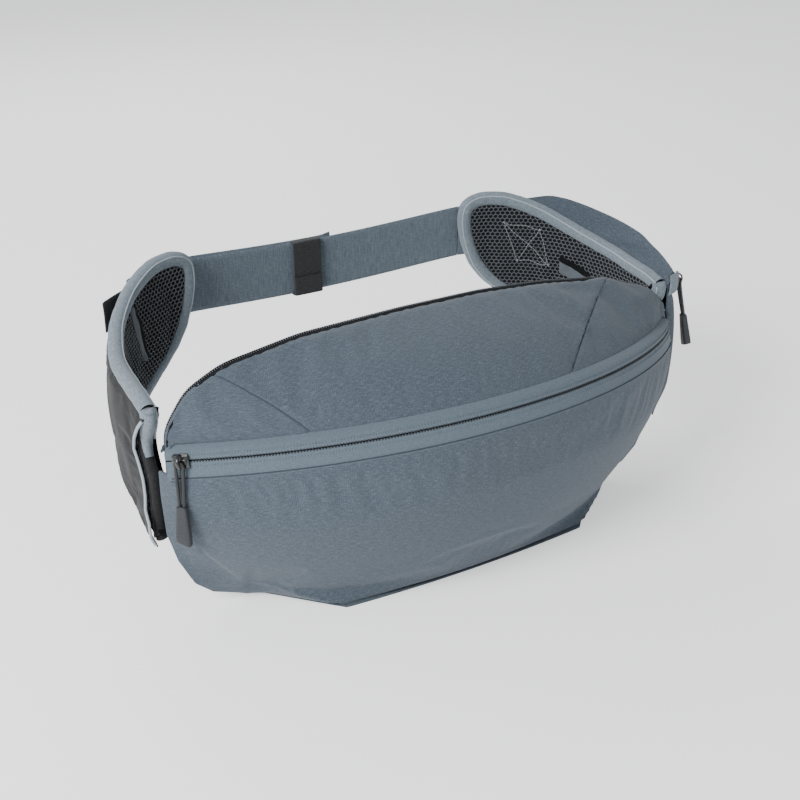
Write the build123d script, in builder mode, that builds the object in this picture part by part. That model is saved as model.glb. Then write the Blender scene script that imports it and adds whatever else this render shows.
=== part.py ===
from build123d import *
import os
from math import sin, cos, tan, asin, acos, radians, degrees

os.makedirs("parts", exist_ok=True)

# Waist pack worn round the body: X across, -Y to the front of the pouch, Z up.
# The origin is the middle of the flat base. All sizes in millimetres.

# ---- pouch -----------------------------------------------------------------
pouch_back = 24.0          # plane of the back panel's outer face
base_back_half = 138.0     # half width of the flat base at the back panel
base_front_half = 93.0     # half width of its front edge
base_depth = 50.0          # from the back panel to the middle of the front edge
base_bow = 4.0             # how far that front edge bows forward
flank_height = 27.0        # first level over the base, where the ends turn up
flank_half, flank_depth = 168.0, 66.0
belly_height = 55.0        # second level, lower belly
belly_half, belly_depth = 186.0, 80.0
chest_height = 85.0        # third level, fullest
chest_half, chest_depth = 190.0, 88.5
panel_wall = 2.2           # shell fabric with its lining
base_wall = 3.0            # base fabric with its stiffener
lid_top = 174.0            # height of the back panel at its middle
lid_end_half = 187.0       # half length of the lid's back edge
lid_end_drop = 36.0        # how far the edge's ends are below its middle
lid_wall = 2.2             # fabric of the lid with its lining
seam_gap = 0.8             # between the lid's fabric and its tape
lid_bow = 4.0              # how far the lid bows over a straight line, at its middle
lid_reach, lid_steps = 178.0, 6    # half length of the lid's loft, and its sections each side
left_seam = ((-115.0, -32.0), (-151.0, 13.0))    # plan points of the lid's seams,
right_seam = ((66.0, -50.0), (122.0, 10.0))      # from the zip to the back

# ---- back panel layers, from the pouch outwards ------------------------------
lining_thick, foam_thick, mesh_thick = 0.8, 4.0, 2.6
piping_radius = 1.8
hip_half, hip_height = 172.0, 20.0            # the outline's corners, from the base up
side_height = 62.0                            # where it is as wide as the pouch
shoulder_half, shoulder_drop = 188.0, 28.0    # drops are from the lid's top
neck_half, neck_drop = 158.0, 9.0
crown_half = 60.0                             # half width of the nearly level top
back_radii = [10, 40, 60, 28, 60, 400]        # rounding of those corners

# ---- main zip: one circular arc in a plane that rises to the front ----------
zip_radius = 260.5
zip_half_angle = 46.4      # degrees each side of the middle
zip_tilt = 14.9            # degrees
zip_end_height = 116.7
zip_end_back = 14.0        # y of the two ends
tape_width, tape_thick = 11.0, 1.2
tape_rise = 37.0           # slope of the lid's tape over the zip plane, degrees
coil_radius = 1.1
coil_gap = 0.3             # between the two coils, and round the sliders
garage_angle = 4.6         # degrees of zip at each end that stays with the pouch

# ---- sliders and pulls -------------------------------------------------------
slider_length, slider_width, slider_plate = 11.0, 9.0, 1.8
bail_radius, bail_wire = 4.8, 1.0
pull_cord = 2.2            # cord diameter
pull_reach = 29.0          # from the bail to the grip
pull_lean = 1.2            # how far the grip rests out from a plumb line
grip_length, grip_top, grip_foot, grip_thick = 27.0, 6.0, 9.5, 5.4
grip_slope = 4.0           # slant of its foot

# ---- wings: they curve round a vertical axis at each side -------------------
wing_axis_x, wing_axis_y = 92.0, 70.0
wing_inner = 95.0          # radius of the face towards the wearer
wing_mesh, wing_foam, wing_shell = 2.2, 3.6, 1.2
wing_root = 26.5           # y where a wing starts
wing_tip_x = 111.0         # x where it ends
binding_width, binding_proud = 6.5, 1.2
wing_top = 176.0
wing_root_top, wing_root_foot = 141.0, 42.0
wing_hip_y, wing_hip_drop = 62.0, 18.0        # its top edge beside the hip, and how far below the top
wing_waist_y, wing_waist_foot = 70.0, 62.0    # its lower edge beside the hip
wing_turn_y, wing_turn_foot = 150.0, 92.0     # its lower edge where it turns to the back
wing_tip_low, wing_tip_high = 136.0, 166.0    # ends of its upright tip
wing_tip_run = 13.5                           # how far the tip's slanting corners reach
root_gap, root_gap_height = 20.0, 88.0        # hollow in the wing's root edge
root_gap_margin = 16.0                        # straight root edge above and below the hollow
side_radii = [8, 120, 200, 10, 10, 200, 150, 7, 8, 20, 8]    # rounding seen from the side
tip_radii = [9, 25, 10, 10, 60, 20, 15]                      # rounding seen from the back

# ---- pockets on the wings ----------------------------------------------------
stretch_gap, stretch_wall = 9.0, 1.4
pocket_depth, pocket_wall = 15.5, 1.6
pocket_zip_height = 143.0
pocket_zip_start, pocket_zip_end = -20.0, 50.0
pocket_front = 30.0        # y of the zip pocket's front edge
pocket_inner_x = 150.0     # x where the pockets end, short of the wing's tip
pocket_tape = 9.0
pocket_turn_y = 110.0      # y where both pockets' lower edges turn up
mouth_shift, mouth_lead = 8.0, 4.0    # how far the stretch pocket's hollow runs out at the front

# ---- belt --------------------------------------------------------------------
belt_width, belt_thick = 38.0, 1.8
belt_height = 151.6        # middle of the webbing
belt_clear = 0.4           # between the webbing and the wing that it laps over
lap_angle = 27.0           # degrees of wing that each end of the belt laps
keeper_width, keeper_wall, keeper_at = 22.0, 1.3, -14.0
tab_length, tab_width, tab_thick, tab_flare = 17.0, 20.0, 1.2, 12.0
hook_thick, loop_thick, patch_end = 0.5, 0.6, 68.0
keeper_clear = 0.4
anchor_angle = 64.0        # degrees round the right wing where the webbing is sewn on


# ---- shared places -----------------------------------------------------------
back_stack = lining_thick + foam_thick + mesh_thick
back_inside = pouch_back - back_stack
tilt_sin, tilt_cos = sin(radians(zip_tilt)), cos(radians(zip_tilt))
end_cos = cos(radians(zip_half_angle))
zip_axis_y = zip_end_back + zip_radius * end_cos * tilt_cos
zip_axis_z = zip_end_height - zip_radius * end_cos * tilt_sin
zip_plane = Plane(
    origin=(0, zip_axis_y, zip_axis_z), x_dir=(1, 0, 0), z_dir=(0, tilt_sin, tilt_cos)
)
wing_outer = wing_inner + wing_mesh + wing_foam + wing_shell


def zip_point(angle, radius=zip_radius, rise=0.0):
    """A place in the zip's cylinder, angle in degrees from the middle."""
    a = radians(angle)
    return zip_plane.from_local_coords(Vector(radius * sin(a), -radius * cos(a), rise))


def zip_station(angle):
    """A plane across the zip: its x runs outwards and its y up the zip's axis."""
    outward = zip_point(angle, zip_radius + 1) - zip_point(angle)
    along = zip_plane.z_dir.cross(outward)
    return Plane(origin=zip_point(angle), x_dir=outward, z_dir=-along)


def revolved_band(corners, start, end):
    """A strip swept round the zip's axis; corners are (outward, rise) from the zip line."""
    with BuildPart() as band:
        with BuildSketch(zip_station(start)):
            with BuildLine():
                Polyline(*corners, close=True)
            make_face()
        revolve(axis=Axis(zip_plane.origin, zip_plane.z_dir), revolution_arc=end - start)
    return band.part


def level(height, tilt, back_half, front_half, side, depth, inset=0.0):
    """A closed outline of the pouch: back line, two ends and one front arc."""
    plane = Plane(
        origin=(0, pouch_back, height),
        x_dir=(1, 0, 0),
        z_dir=(0, sin(radians(tilt)), cos(radians(tilt))),
    )
    with BuildSketch(plane) as outline:
        with BuildLine():
            left = Line((-back_half + inset, 0), (-front_half + inset, -side + inset * 0.4))
            front = ThreePointArc(
                left @ 1, (0, -depth + inset), (front_half - inset, -side + inset * 0.4)
            )
            right = Line(front @ 1, (back_half - inset, 0))
            Line(right @ 1, left @ 0)
        make_face()
    return outline.sketch


zip_back_height = zip_end_height - (pouch_back - zip_end_back) * tan(radians(zip_tilt))
zip_side = (pouch_back - zip_end_back) / tilt_cos
zip_half = zip_radius * sin(radians(zip_half_angle))
zip_depth = zip_side + zip_radius * (1 - end_cos)


def hull(inset):
    """The filled pouch from its base to the zip, smooth from level to level."""
    with BuildPart() as body:
        add(level(0, 0, base_back_half, base_front_half, base_depth - base_bow, base_depth, inset))
        add(level(flank_height, 3, flank_half, flank_half - 2, 3, flank_depth, inset))
        add(level(belly_height, 8, belly_half, belly_half - 1, 6, belly_depth, inset))
        add(level(chest_height, 12, chest_half, chest_half - 0.5, 9, chest_depth, inset))
        add(level(zip_back_height, zip_tilt, zip_half, zip_half, zip_side, zip_depth, inset))
        loft()
    return body.part


def slab(low, high):
    """A large block between two corners, used to cut pieces to length."""
    size = [b - a for a, b in zip(low, high)]
    middle = [(a + b) / 2 for a, b in zip(low, high)]
    return Pos(*middle) * Box(*size, mode=Mode.PRIVATE)


def write(piece, name):
    piece.label = name
    export_step(piece, f"parts/{name}.step")


def keep(shape, *cutters):
    """What a shape has inside all of the cutters."""
    with BuildPart() as piece:
        add(shape)
        for cutter in cutters:
            add(cutter, mode=Mode.INTERSECT)
    return piece.part


def cut(shape, *tools):
    """What is left of a shape outside all of the tools."""
    with BuildPart() as piece:
        add(shape)
        for tool in tools:
            add(tool, mode=Mode.SUBTRACT)
    return piece.part


far = 400.0  # reach of the cutting blocks, past everything
wing_past = 260.0  # y and x past the wings
fold = slider_width / 2 + 0.5  # flat part of the lid's tape, beside the coil
slope_cos, slope_sin = cos(radians(tape_rise)), sin(radians(tape_rise))
lid_edge_in = (tape_width - fold) * slope_cos
lid_edge_rise = fold + (tape_width - fold) * slope_sin
lid_half = zip_radius * sin(radians(zip_half_angle - 2 * garage_angle))

outer_hull, inner_hull = hull(0), hull(panel_wall)
below_tape = Part() + [
    zip_plane * Pos(0, 0, -tape_width - far / 2) * Box(2 * far, 3 * far, far)
]

# The front panel runs from the base round the ends and up to the zip's lower tape.
with BuildPart() as front_panel:
    add(outer_hull)
    add(inner_hull, mode=Mode.SUBTRACT)
    add(below_tape, mode=Mode.INTERSECT)
    add(slab((-far, -far, base_wall), (far, back_inside, far)), mode=Mode.INTERSECT)
write(front_panel.part, "front_panel")

with BuildPart() as base_panel:
    add(outer_hull)
    add(slab((-far, -far, 0), (far, far, base_wall)), mode=Mode.INTERSECT)
write(base_panel.part, "base_panel")


# ---- back panel: lining, foam and mesh, with piping round the top -------------
def back_outline(grow=0.0):
    """The back panel's outline, with round hips and shoulders."""
    right = [
        (base_back_half, base_wall), (hip_half, hip_height), (chest_half, side_height),
        (shoulder_half, lid_top - shoulder_drop), (neck_half, lid_top - neck_drop),
        (crown_half, lid_top),
    ]
    left = [(-x, z) for x, z in reversed(right)]
    with BuildSketch(Plane.XZ) as outline:
        with BuildLine():
            FilletPolyline(*right, *left, radius=back_radii + back_radii[::-1], close=True)
        make_face()
        if grow:
            offset(amount=grow)
    return outline.sketch


def back_layer(y_start, thickness):
    outline = Pos(0, y_start, 0) * back_outline()
    return extrude(outline, amount=-thickness)


write(back_layer(back_inside, lining_thick), "back_lining")
write(back_layer(back_inside + lining_thick, foam_thick), "back_foam")
write(back_layer(pouch_back - mesh_thick, mesh_thick), "back_mesh")
upper_half = Plane.XZ * Pos(0, belly_height + far / 2) * Rectangle(2 * far, far)
piping_ring = (back_outline(2 * piping_radius) - back_outline()) & upper_half
write(extrude(Pos(0, back_inside, 0) * piping_ring, amount=-back_stack), "back_piping")


# ---- main zip -----------------------------------------------------------------
low_edge, high_edge = -coil_gap / 2, coil_gap / 2
lower_tape_corners = [
    (0, low_edge), (-tape_thick, low_edge), (-tape_thick, -tape_width), (0, -tape_width)
]
upper_tape_corners = [
    (0, high_edge), (0, fold), (-lid_edge_in, lid_edge_rise),
    (-lid_edge_in - tape_thick, lid_edge_rise - tape_thick / 2),
    (-tape_thick, fold - tape_thick / 2), (-tape_thick, high_edge),
]
half = zip_half_angle
between_ends = slab((-lid_half, -far, 0), (lid_half, far, far))
write(revolved_band(lower_tape_corners, -half, half), "lower_tape")
upper_band = revolved_band(upper_tape_corners, -half, half)
upper_band = keep(upper_band, slab((-far, -far, 0), (far, back_inside - 0.3, far)))
write(keep(upper_band, between_ends), "upper_tape")


def coil(rise, start, end):
    """One row of closed coil, behind its tape."""
    with BuildPart() as row:
        with BuildSketch(zip_station(start)):
            with Locations((-tape_thick - coil_radius, rise)):
                Circle(coil_radius)
        revolve(axis=Axis(zip_plane.origin, zip_plane.z_dir), revolution_arc=end - start)
    return row.part


coil_rise = coil_radius + coil_gap / 2
write(coil(-coil_rise, -half, half), "lower_coil")
write(keep(coil(coil_rise, -half, half), between_ends), "upper_coil")


# ---- lid: a centre and two end gussets, cut along slanting seams ---------------
lid_edge_radius = zip_radius - lid_edge_in
lid_back = back_inside - 0.3


def lid_crest(x):
    """Height of the lid's back edge: level in the middle, with round shoulders."""
    share = (1 - abs(x / lid_end_half) ** 3) ** 0.5
    return lid_top - lid_end_drop * (1 - share)


def lid_section(x):
    """The lid cut at x: a thin bowed strip from the zip up to the back edge."""
    foot = zip_point(degrees(asin(x / lid_edge_radius)), lid_edge_radius, lid_edge_rise)
    foot += Vector(0, seam_gap, seam_gap)
    slope = Vector(0, lid_back + lid_wall - foot.Y, lid_crest(x) - foot.Z)
    out = Vector(0, -slope.Z, slope.Y).normalized()
    bow = out * (lid_bow * slope.length / 90)
    corners = [foot, foot + slope, foot + slope - out * lid_wall, foot - out * lid_wall]
    points = [(p.Y, p.Z) for p in corners]
    outer_mid, inner_mid = foot + slope / 2 + bow, foot + slope / 2 + bow - out * lid_wall
    with BuildSketch(Plane.YZ.offset(x)) as section:
        with BuildLine():
            ThreePointArc(points[0], (outer_mid.Y, outer_mid.Z), points[1])
            Line(points[1], points[2])
            ThreePointArc(points[2], (inner_mid.Y, inner_mid.Z), points[3])
            Line(points[3], points[0])
        make_face()
    return section.sketch


lid_sections = [lid_section(lid_reach * k / lid_steps) for k in range(-lid_steps, lid_steps + 1)]
with BuildPart() as lid_shell:
    for section in lid_sections:
        add(section)
    loft()


def beside_seam(foot, top, side):
    """The block on one side (-1 left, 1 right) of an upright plane through two plan points."""
    line = Vector(*top) - Vector(*foot)
    plane = Plane(origin=(*foot, 0), x_dir=(line.X, line.Y, 0), z_dir=(0, 0, 1))
    return plane * Pos(0, -side * far, lid_top / 2) * Box(4 * far, 2 * far, far, mode=Mode.PRIVATE)


lid_all = keep(lid_shell.part, slab((-far, -far, 0), (far, lid_back, far)))
lid_moving = keep(lid_all, between_ends)
write(keep(lid_moving, beside_seam(*left_seam, -1)), "left_gusset")
write(keep(lid_moving, beside_seam(*right_seam, 1)), "right_gusset")
write(keep(lid_moving, beside_seam(*left_seam, 1), beside_seam(*right_seam, -1)), "lid_panel")

# The ends of the lid and of the zip's upper tape stay with the pouch.
for side, name in ((-1, "left"), (1, "right")):
    near, beyond = side * (lid_half + coil_gap), side * far
    end_block = slab((min(near, beyond), -far, 0), (max(near, beyond), far, far))
    write(keep(lid_all, end_block), f"{name}_shoulder")
    write(keep(upper_band, end_block), f"{name}_zip_end")


# ---- sliders and pulls -------------------------------------------------------
def bail(station, plate_top):
    """The half ring over a slider, through which the pull's cord passes."""
    with BuildPart() as ring:
        with BuildSketch(station.offset(-bail_wire)):
            with Locations((plate_top, 0)):
                Circle(bail_radius)
                Circle(bail_radius - bail_wire, mode=Mode.SUBTRACT)
            with Locations((plate_top - bail_radius - 0.2, 0)):
                Rectangle(2 * bail_radius, 3 * bail_radius, mode=Mode.SUBTRACT)
        extrude(amount=2 * bail_wire)
    return ring.part


def plate(station, low):
    """One of a slider's two plates, from a given height over the zip."""
    with BuildPart() as block:
        with BuildSketch(station.offset(-slider_length / 2)):
            with Locations((low + slider_plate / 2, 0)):
                RectangleRounded(slider_plate, slider_width - 1, slider_plate * 0.3)
        extrude(amount=slider_length)
    return block.part


def slider(station, above, behind=None):
    """A slider on a plane whose x runs outwards and y across the zip."""
    pieces = [plate(station, above), bail(station, above + slider_plate)]
    with BuildPart() as body:
        for piece in pieces:
            add(piece)
        if behind:
            add(plate(station, -behind - slider_plate))
    return body.part


def pull(station, above, name):
    """A doubled cord through a slider's bail, with a moulded grip on its ends,
    hanging straight down."""
    down = Vector(0, 0, -1)
    sideways = Vector(station.z_dir.X, station.z_dir.Y, 0).normalized()
    outwards = sideways.cross(down)
    hook = station.from_local_coords(Vector(above + slider_plate + pull_cord, 0, 0))
    foot = hook + down * pull_reach + outwards * pull_lean
    narrow, wide = pull_cord * 0.62, pull_cord * 0.5 + bail_wire + 0.9
    route = [
        foot - sideways * narrow, hook + down * 5 - sideways * wide, hook - sideways * wide,
        hook + sideways * wide, hook + down * 5 + sideways * wide, foot + sideways * narrow,
    ]
    with BuildPart() as cord:
        with BuildLine() as path:
            FilletPolyline(*route, radius=pull_cord * 0.85)
        with BuildSketch(Plane(origin=path.line @ 0, z_dir=path.line % 0)):
            Circle(pull_cord / 2)
        sweep()
    write(cord.part, f"{name}_cord")
    grip_plane = Plane(origin=foot + down * 0.15, x_dir=sideways, z_dir=down)
    with BuildPart() as grip:
        with BuildSketch(grip_plane):
            RectangleRounded(grip_top, grip_thick * 0.8, 1.2)
        with BuildSketch(grip_plane.offset(grip_length - grip_slope)):
            RectangleRounded(grip_foot, grip_thick, 1.2)
        loft()
        with BuildSketch(grip_plane.offset(grip_length - grip_slope)):
            RectangleRounded(grip_foot, grip_thick, 1.2)
        extrude(amount=grip_slope)
    write(grip.part, f"{name}_grip")


park = zip_half_angle - garage_angle / 2
behind_tape = tape_thick + 2 * coil_radius + coil_gap
write(slider(zip_station(-park), coil_gap, behind_tape), "main_slider")
pull(zip_station(-park), coil_gap, "main_pull")


# ---- wings: bands round a vertical axis, cut to a leaf outline ----------------
def wing_band(inner, outer, start=wing_root, tip=wing_tip_x):
    """A tall band between two radii: straight beside the hip, then round to the back."""
    with BuildPart() as band:
        with BuildSketch():
            with BuildLine():
                inner_turn = degrees(acos((tip - wing_axis_x) / inner))
                outer_turn = degrees(acos((tip - wing_axis_x) / outer))
                inner_arc = CenterArc((wing_axis_x, wing_axis_y), inner, 0, inner_turn)
                outer_arc = CenterArc((wing_axis_x, wing_axis_y), outer, 0, outer_turn)
                Line(inner_arc @ 1, outer_arc @ 1)
                inner_root = Line(inner_arc @ 0, (wing_axis_x + inner, start))
                outer_root = Line(outer_arc @ 0, (wing_axis_x + outer, start))
                Line(inner_root @ 1, outer_root @ 1)
            make_face()
        extrude(amount=far / 2)
    return band.part


def prism(plane, points, radii, inset, amount):
    """A block with a filleted outline, shrunk by an inset."""
    with BuildPart() as block:
        with BuildSketch(plane):
            with BuildLine():
                FilletPolyline(*points, radius=radii, close=True)
            make_face()
            if inset:
                offset(amount=-inset)
        extrude(amount=amount)
    return block.part


def leaf(inset=0.0):
    """The wing's outline, as the common part of its side view and its back view."""
    side_points = [
        (wing_root, wing_root_top), (wing_hip_y, wing_top - wing_hip_drop), (wing_turn_y, wing_top),
        (wing_past, wing_top), (wing_past, wing_turn_foot + 18), (wing_turn_y, wing_turn_foot),
        (wing_waist_y, wing_waist_foot), (wing_root, wing_root_foot),
        (wing_root, wing_root_foot + root_gap_margin), (wing_root + root_gap, root_gap_height),
        (wing_root, wing_root_top - root_gap_margin),
    ]
    tip, run = wing_tip_x, wing_tip_run
    back_points = [
        (tip, wing_tip_high), (tip + run, wing_top + 3), (wing_past, wing_top + 30), (wing_past, 20),
        (196, 52), (tip + run, 113), (tip, wing_tip_low),
    ]
    side_view = prism(Plane.YZ, side_points, side_radii, inset, far)
    back_view = prism(Plane.XZ, back_points, tip_radii, inset, -far)
    return keep(side_view, back_view)


leaf_whole, leaf_field = leaf(), leaf(binding_width)
binding_ring = wing_band(wing_inner - binding_proud, wing_outer + binding_proud)
wing_binding = cut(keep(binding_ring, leaf_whole), leaf_field)
wing_layers = {
    "wing_mesh": (wing_inner, wing_inner + wing_mesh),
    "wing_foam": (wing_inner + wing_mesh, wing_outer - wing_shell),
    "wing_shell": (wing_outer - wing_shell, wing_outer),
}
for layer, (inner, outer) in wing_layers.items():
    piece = keep(wing_band(inner, outer), leaf_field)
    write(piece, f"right_{layer}")
    write(mirror(piece, about=Plane.YZ), f"left_{layer}")
write(mirror(wing_binding, about=Plane.YZ), "left_wing_binding")
write(wing_binding, "right_wing_binding")


# ---- pockets on the outside of the wings ---------------------------------------
def pocket_outline(inset=0.0):
    """Side view of the zip pocket, inside the wing's binding."""
    points = [
        (pocket_front, 134), (wing_hip_y, 151), (pocket_turn_y, 161), (wing_turn_y, 166),
        (162, 160), (156, 104), (pocket_turn_y, 86), (wing_waist_y, 74), (pocket_front, 54),
    ]
    radii = [4, 90, 120, 6, 6, 12, 120, 120, 4]
    return prism(Plane.YZ, points, radii, inset, far)


def pocket_solid(depth, outline, start):
    """What stands out from the wing's shell, out to a circle round the wing's axis."""
    with BuildPart() as disc:
        with Locations((wing_axis_x, wing_axis_y)):
            Cylinder(wing_outer + depth, far, align=(Align.CENTER, Align.CENTER, Align.MIN))
    wing_room = wing_band(20, wing_outer, start - 5, wing_axis_x + 1)
    front = slab((wing_axis_x, -far, -1), (far, start, 2 * far))
    rest = slab((-far, -far, -1), (pocket_inner_x, far, 2 * far))
    return keep(cut(disc.part, wing_room, front, rest), outline, leaf_field)


pocket_skin = pocket_solid(pocket_depth, pocket_outline(), pocket_front)
pocket_room = pocket_solid(
    pocket_depth - pocket_wall, pocket_outline(pocket_wall), pocket_front + pocket_wall
)
write(cut(pocket_skin, pocket_room), "right_pocket")

pocket_face = wing_outer + pocket_depth
pocket_axis = Axis((wing_axis_x, wing_axis_y, 0), (0, 0, 1))


def pocket_station(angle):
    """A plane across the pocket's zip: its x runs outwards and its y up."""
    a = radians(angle)
    outward = Vector(cos(a), sin(a), 0)
    place = Vector(wing_axis_x, wing_axis_y, pocket_zip_height) + outward * (pocket_face + tape_thick)
    return Plane(origin=place, x_dir=outward, z_dir=(sin(a), -cos(a), 0))


def pocket_strip(low, high, out, thickness, start, end):
    """A strip of the pocket's zip between two heights."""
    with BuildPart() as strip:
        with BuildSketch(pocket_station(start)):
            with Locations((out + thickness / 2, (low + high) / 2)):
                Rectangle(thickness, high - low)
        revolve(axis=pocket_axis, revolution_arc=end - start)
    return strip.part


for low, high, name in ((-pocket_tape, -coil_gap / 2, "low"), (coil_gap / 2, pocket_tape, "high")):
    strip = pocket_strip(low, high, -tape_thick, tape_thick, pocket_zip_start, pocket_zip_end)
    write(strip, f"pocket_tape_{name}")
coil_start = pocket_zip_start + 4
with BuildPart() as pocket_coil:
    with BuildSketch(pocket_station(coil_start)):
        with Locations((0.35, 1.3), (0.35, -1.3)):
            Rectangle(0.7, 1.8)
    revolve(axis=pocket_axis, revolution_arc=pocket_zip_end - coil_start)
write(pocket_coil.part, "pocket_coil")

park_angle = pocket_zip_start + 2
pocket_above = coil_gap + 0.7
write(slider(pocket_station(park_angle), pocket_above), "pocket_slider")
pull(pocket_station(park_angle), pocket_above, "pocket_pull")


# The left wing's pocket is stretch cloth, open along its front edge.
stretch_points = [
    (pocket_front, 132), (wing_hip_y, 147), (108, 156), (132, 157), (138, 150), (136, 102),
    (pocket_turn_y, 89), (wing_waist_y, 74), (pocket_front, 54),
]
stretch_radii = [4, 90, 60, 4, 4, 8, 120, 120, 4]
stretch_outer = prism(Plane.YZ, stretch_points, stretch_radii, 0, far)
stretch_inner = prism(Plane.YZ, stretch_points, stretch_radii, stretch_wall, far)
stretch_skin = pocket_solid(stretch_gap + stretch_wall, stretch_outer, pocket_front)
stretch_room = pocket_solid(stretch_gap, stretch_inner, pocket_front + stretch_wall)
stretch_mouth = pocket_solid(
    stretch_gap, Pos(0, -mouth_shift, 0) * stretch_inner, pocket_front - mouth_lead
)
stretch_pocket = cut(stretch_skin, stretch_room, stretch_mouth)
write(mirror(stretch_pocket, about=Plane.YZ), "left_pocket")


# ---- belt: laps over both wing tips and runs round the back --------------------
lap_inner = wing_outer + binding_proud + belt_clear
lap_outer = lap_inner + belt_thick
join_angle = degrees(acos((wing_tip_x - wing_axis_x) / lap_inner))
back_radius_extra = wing_axis_x / cos(radians(join_angle))
back_centre_y = wing_axis_y - wing_axis_x * tan(radians(join_angle))
belt_low, belt_high = belt_height - belt_width / 2, belt_height + belt_width / 2


def webbing(inner, thickness, low, high, left_end, right_end):
    """A curved length of webbing; the ends are degrees round the left wing from its root,
    and an x on the stretch across the back."""
    radius = back_radius_extra + inner
    start = degrees(acos(right_end / radius))
    with BuildPart() as strap:
        with BuildSketch(Plane.XY.offset(low)):
            with BuildLine():
                back = CenterArc((0, back_centre_y), radius, start, 180 - join_angle - start)
                lap = CenterArc(
                    (-wing_axis_x, wing_axis_y), inner, 180 - join_angle, join_angle - left_end
                )
                outside = [
                    CenterArc((0, back_centre_y), radius + thickness, start, 180 - join_angle - start),
                    CenterArc(
                        (-wing_axis_x, wing_axis_y), inner + thickness, 180 - join_angle,
                        join_angle - left_end,
                    ),
                ]
                Line(back @ 0, outside[0] @ 0)
                Line(lap @ 1, outside[1] @ 1)
            make_face()
        extrude(amount=high - low)
    return strap.part


def lap_band(inner, thickness, low, high, start, end):
    """A band round the right wing's axis between two angles."""
    with BuildPart() as band:
        with BuildSketch(Plane.XY.offset(low)):
            with BuildLine():
                near = CenterArc((wing_axis_x, wing_axis_y), inner, start, end - start)
                away = CenterArc((wing_axis_x, wing_axis_y), inner + thickness, start, end - start)
                Line(near @ 0, away @ 0)
                Line(near @ 1, away @ 1)
            make_face()
        extrude(amount=high - low)
    return band.part


lap_end = join_angle - lap_angle
strap_start_x = wing_tip_x - 0.5
write(webbing(lap_inner, belt_thick, belt_low, belt_high, lap_end, strap_start_x), "belt_strap")
tail_end_x = keeper_at + keeper_width / 2 + 9
tail = webbing(lap_outer, belt_thick, belt_low, belt_high, lap_end + 1, tail_end_x)
write(tail, "belt_tail")
anchor_band = lap_band(lap_inner, belt_thick, belt_low, belt_high, anchor_angle, join_angle)
write(anchor_band, "belt_anchor")
hook_patch = lap_band(
    lap_inner - hook_thick, hook_thick, belt_low + 1, belt_high - 1, lap_end + 1, patch_end
)
write(mirror(keep(hook_patch, leaf_field), about=Plane.YZ), "hook_patch")
loop_patch = lap_band(wing_outer, loop_thick, belt_low + 1, belt_high - 3, lap_end - 8, patch_end)
write(mirror(keep(loop_patch, leaf_field), about=Plane.YZ), "loop_patch")
tab_plane = Plane(
    origin=(
        -wing_axis_x - (lap_inner + 0.1) * cos(radians(lap_end)),
        wing_axis_y + (lap_inner + 0.1) * sin(radians(lap_end)), belt_height + 6,
    ),
    x_dir=(-sin(radians(lap_end + tab_flare)), -cos(radians(lap_end + tab_flare)), 0),
    z_dir=(-cos(radians(lap_end + tab_flare)), sin(radians(lap_end + tab_flare)), 0),
)
with BuildPart() as pull_tab:
    with BuildSketch(tab_plane):
        with Locations((tab_length / 2 + 0.6, 0)):
            RectangleRounded(tab_length, tab_width, 3)
    extrude(amount=tab_thick)
write(pull_tab.part, "pull_tab")


def sleeve(inner, outer, low, high, width):
    """A short curved block on the back stretch of the belt, centred on the keeper."""
    radius = back_radius_extra + inner
    middle = degrees(acos(keeper_at / radius))
    spread = degrees(width / 2 / radius)
    with BuildPart() as block:
        with BuildSketch(Plane.XY.offset(low)):
            with BuildLine():
                near = CenterArc((0, back_centre_y), radius, middle - spread, 2 * spread)
                away = CenterArc(
                    (0, back_centre_y), radius + outer - inner, middle - spread, 2 * spread
                )
                Line(near @ 0, away @ 0)
                Line(near @ 1, away @ 1)
            make_face()
        extrude(amount=high - low)
    return block.part


keeper_in, keeper_out = lap_inner - keeper_clear, lap_outer + belt_thick + keeper_clear
keeper_room = sleeve(
    keeper_in, keeper_out, belt_low - keeper_clear, belt_high + keeper_clear, 2 * keeper_width
)
keeper_block = sleeve(
    keeper_in - keeper_wall, keeper_out + keeper_wall,
    belt_low - keeper_clear - keeper_wall, belt_high + keeper_clear + keeper_wall, keeper_width,
)
write(cut(keeper_block, keeper_room), "keeper")
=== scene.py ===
import bpy
import bmesh
import numpy as np
from mathutils import Matrix, Vector


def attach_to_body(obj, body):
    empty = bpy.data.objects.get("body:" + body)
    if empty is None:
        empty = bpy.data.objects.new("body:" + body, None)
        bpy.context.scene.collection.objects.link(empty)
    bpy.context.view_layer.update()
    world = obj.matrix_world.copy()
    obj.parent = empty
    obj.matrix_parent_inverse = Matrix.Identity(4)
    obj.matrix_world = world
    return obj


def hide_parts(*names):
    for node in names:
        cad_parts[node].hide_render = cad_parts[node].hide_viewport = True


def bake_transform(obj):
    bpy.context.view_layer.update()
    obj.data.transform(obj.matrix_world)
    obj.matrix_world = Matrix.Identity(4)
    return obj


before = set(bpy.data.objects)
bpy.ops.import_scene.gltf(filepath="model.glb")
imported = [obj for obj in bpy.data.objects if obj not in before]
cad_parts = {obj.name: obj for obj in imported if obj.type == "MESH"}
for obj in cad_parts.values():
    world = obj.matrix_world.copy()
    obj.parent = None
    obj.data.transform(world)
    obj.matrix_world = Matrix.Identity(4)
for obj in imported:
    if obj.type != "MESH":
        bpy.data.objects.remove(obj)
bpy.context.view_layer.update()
mm = 0.001
dice = np.random.default_rng(11)


# small helpers: colours, nodes, meshes
def paint(code):
    values = [int(code[k:k + 2], 16) / 255 for k in (1, 3, 5)]
    return (*[v / 12.92 if v <= 0.04045 else ((v + 0.055) / 1.055) ** 2.4 for v in values], 1.0)


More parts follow.
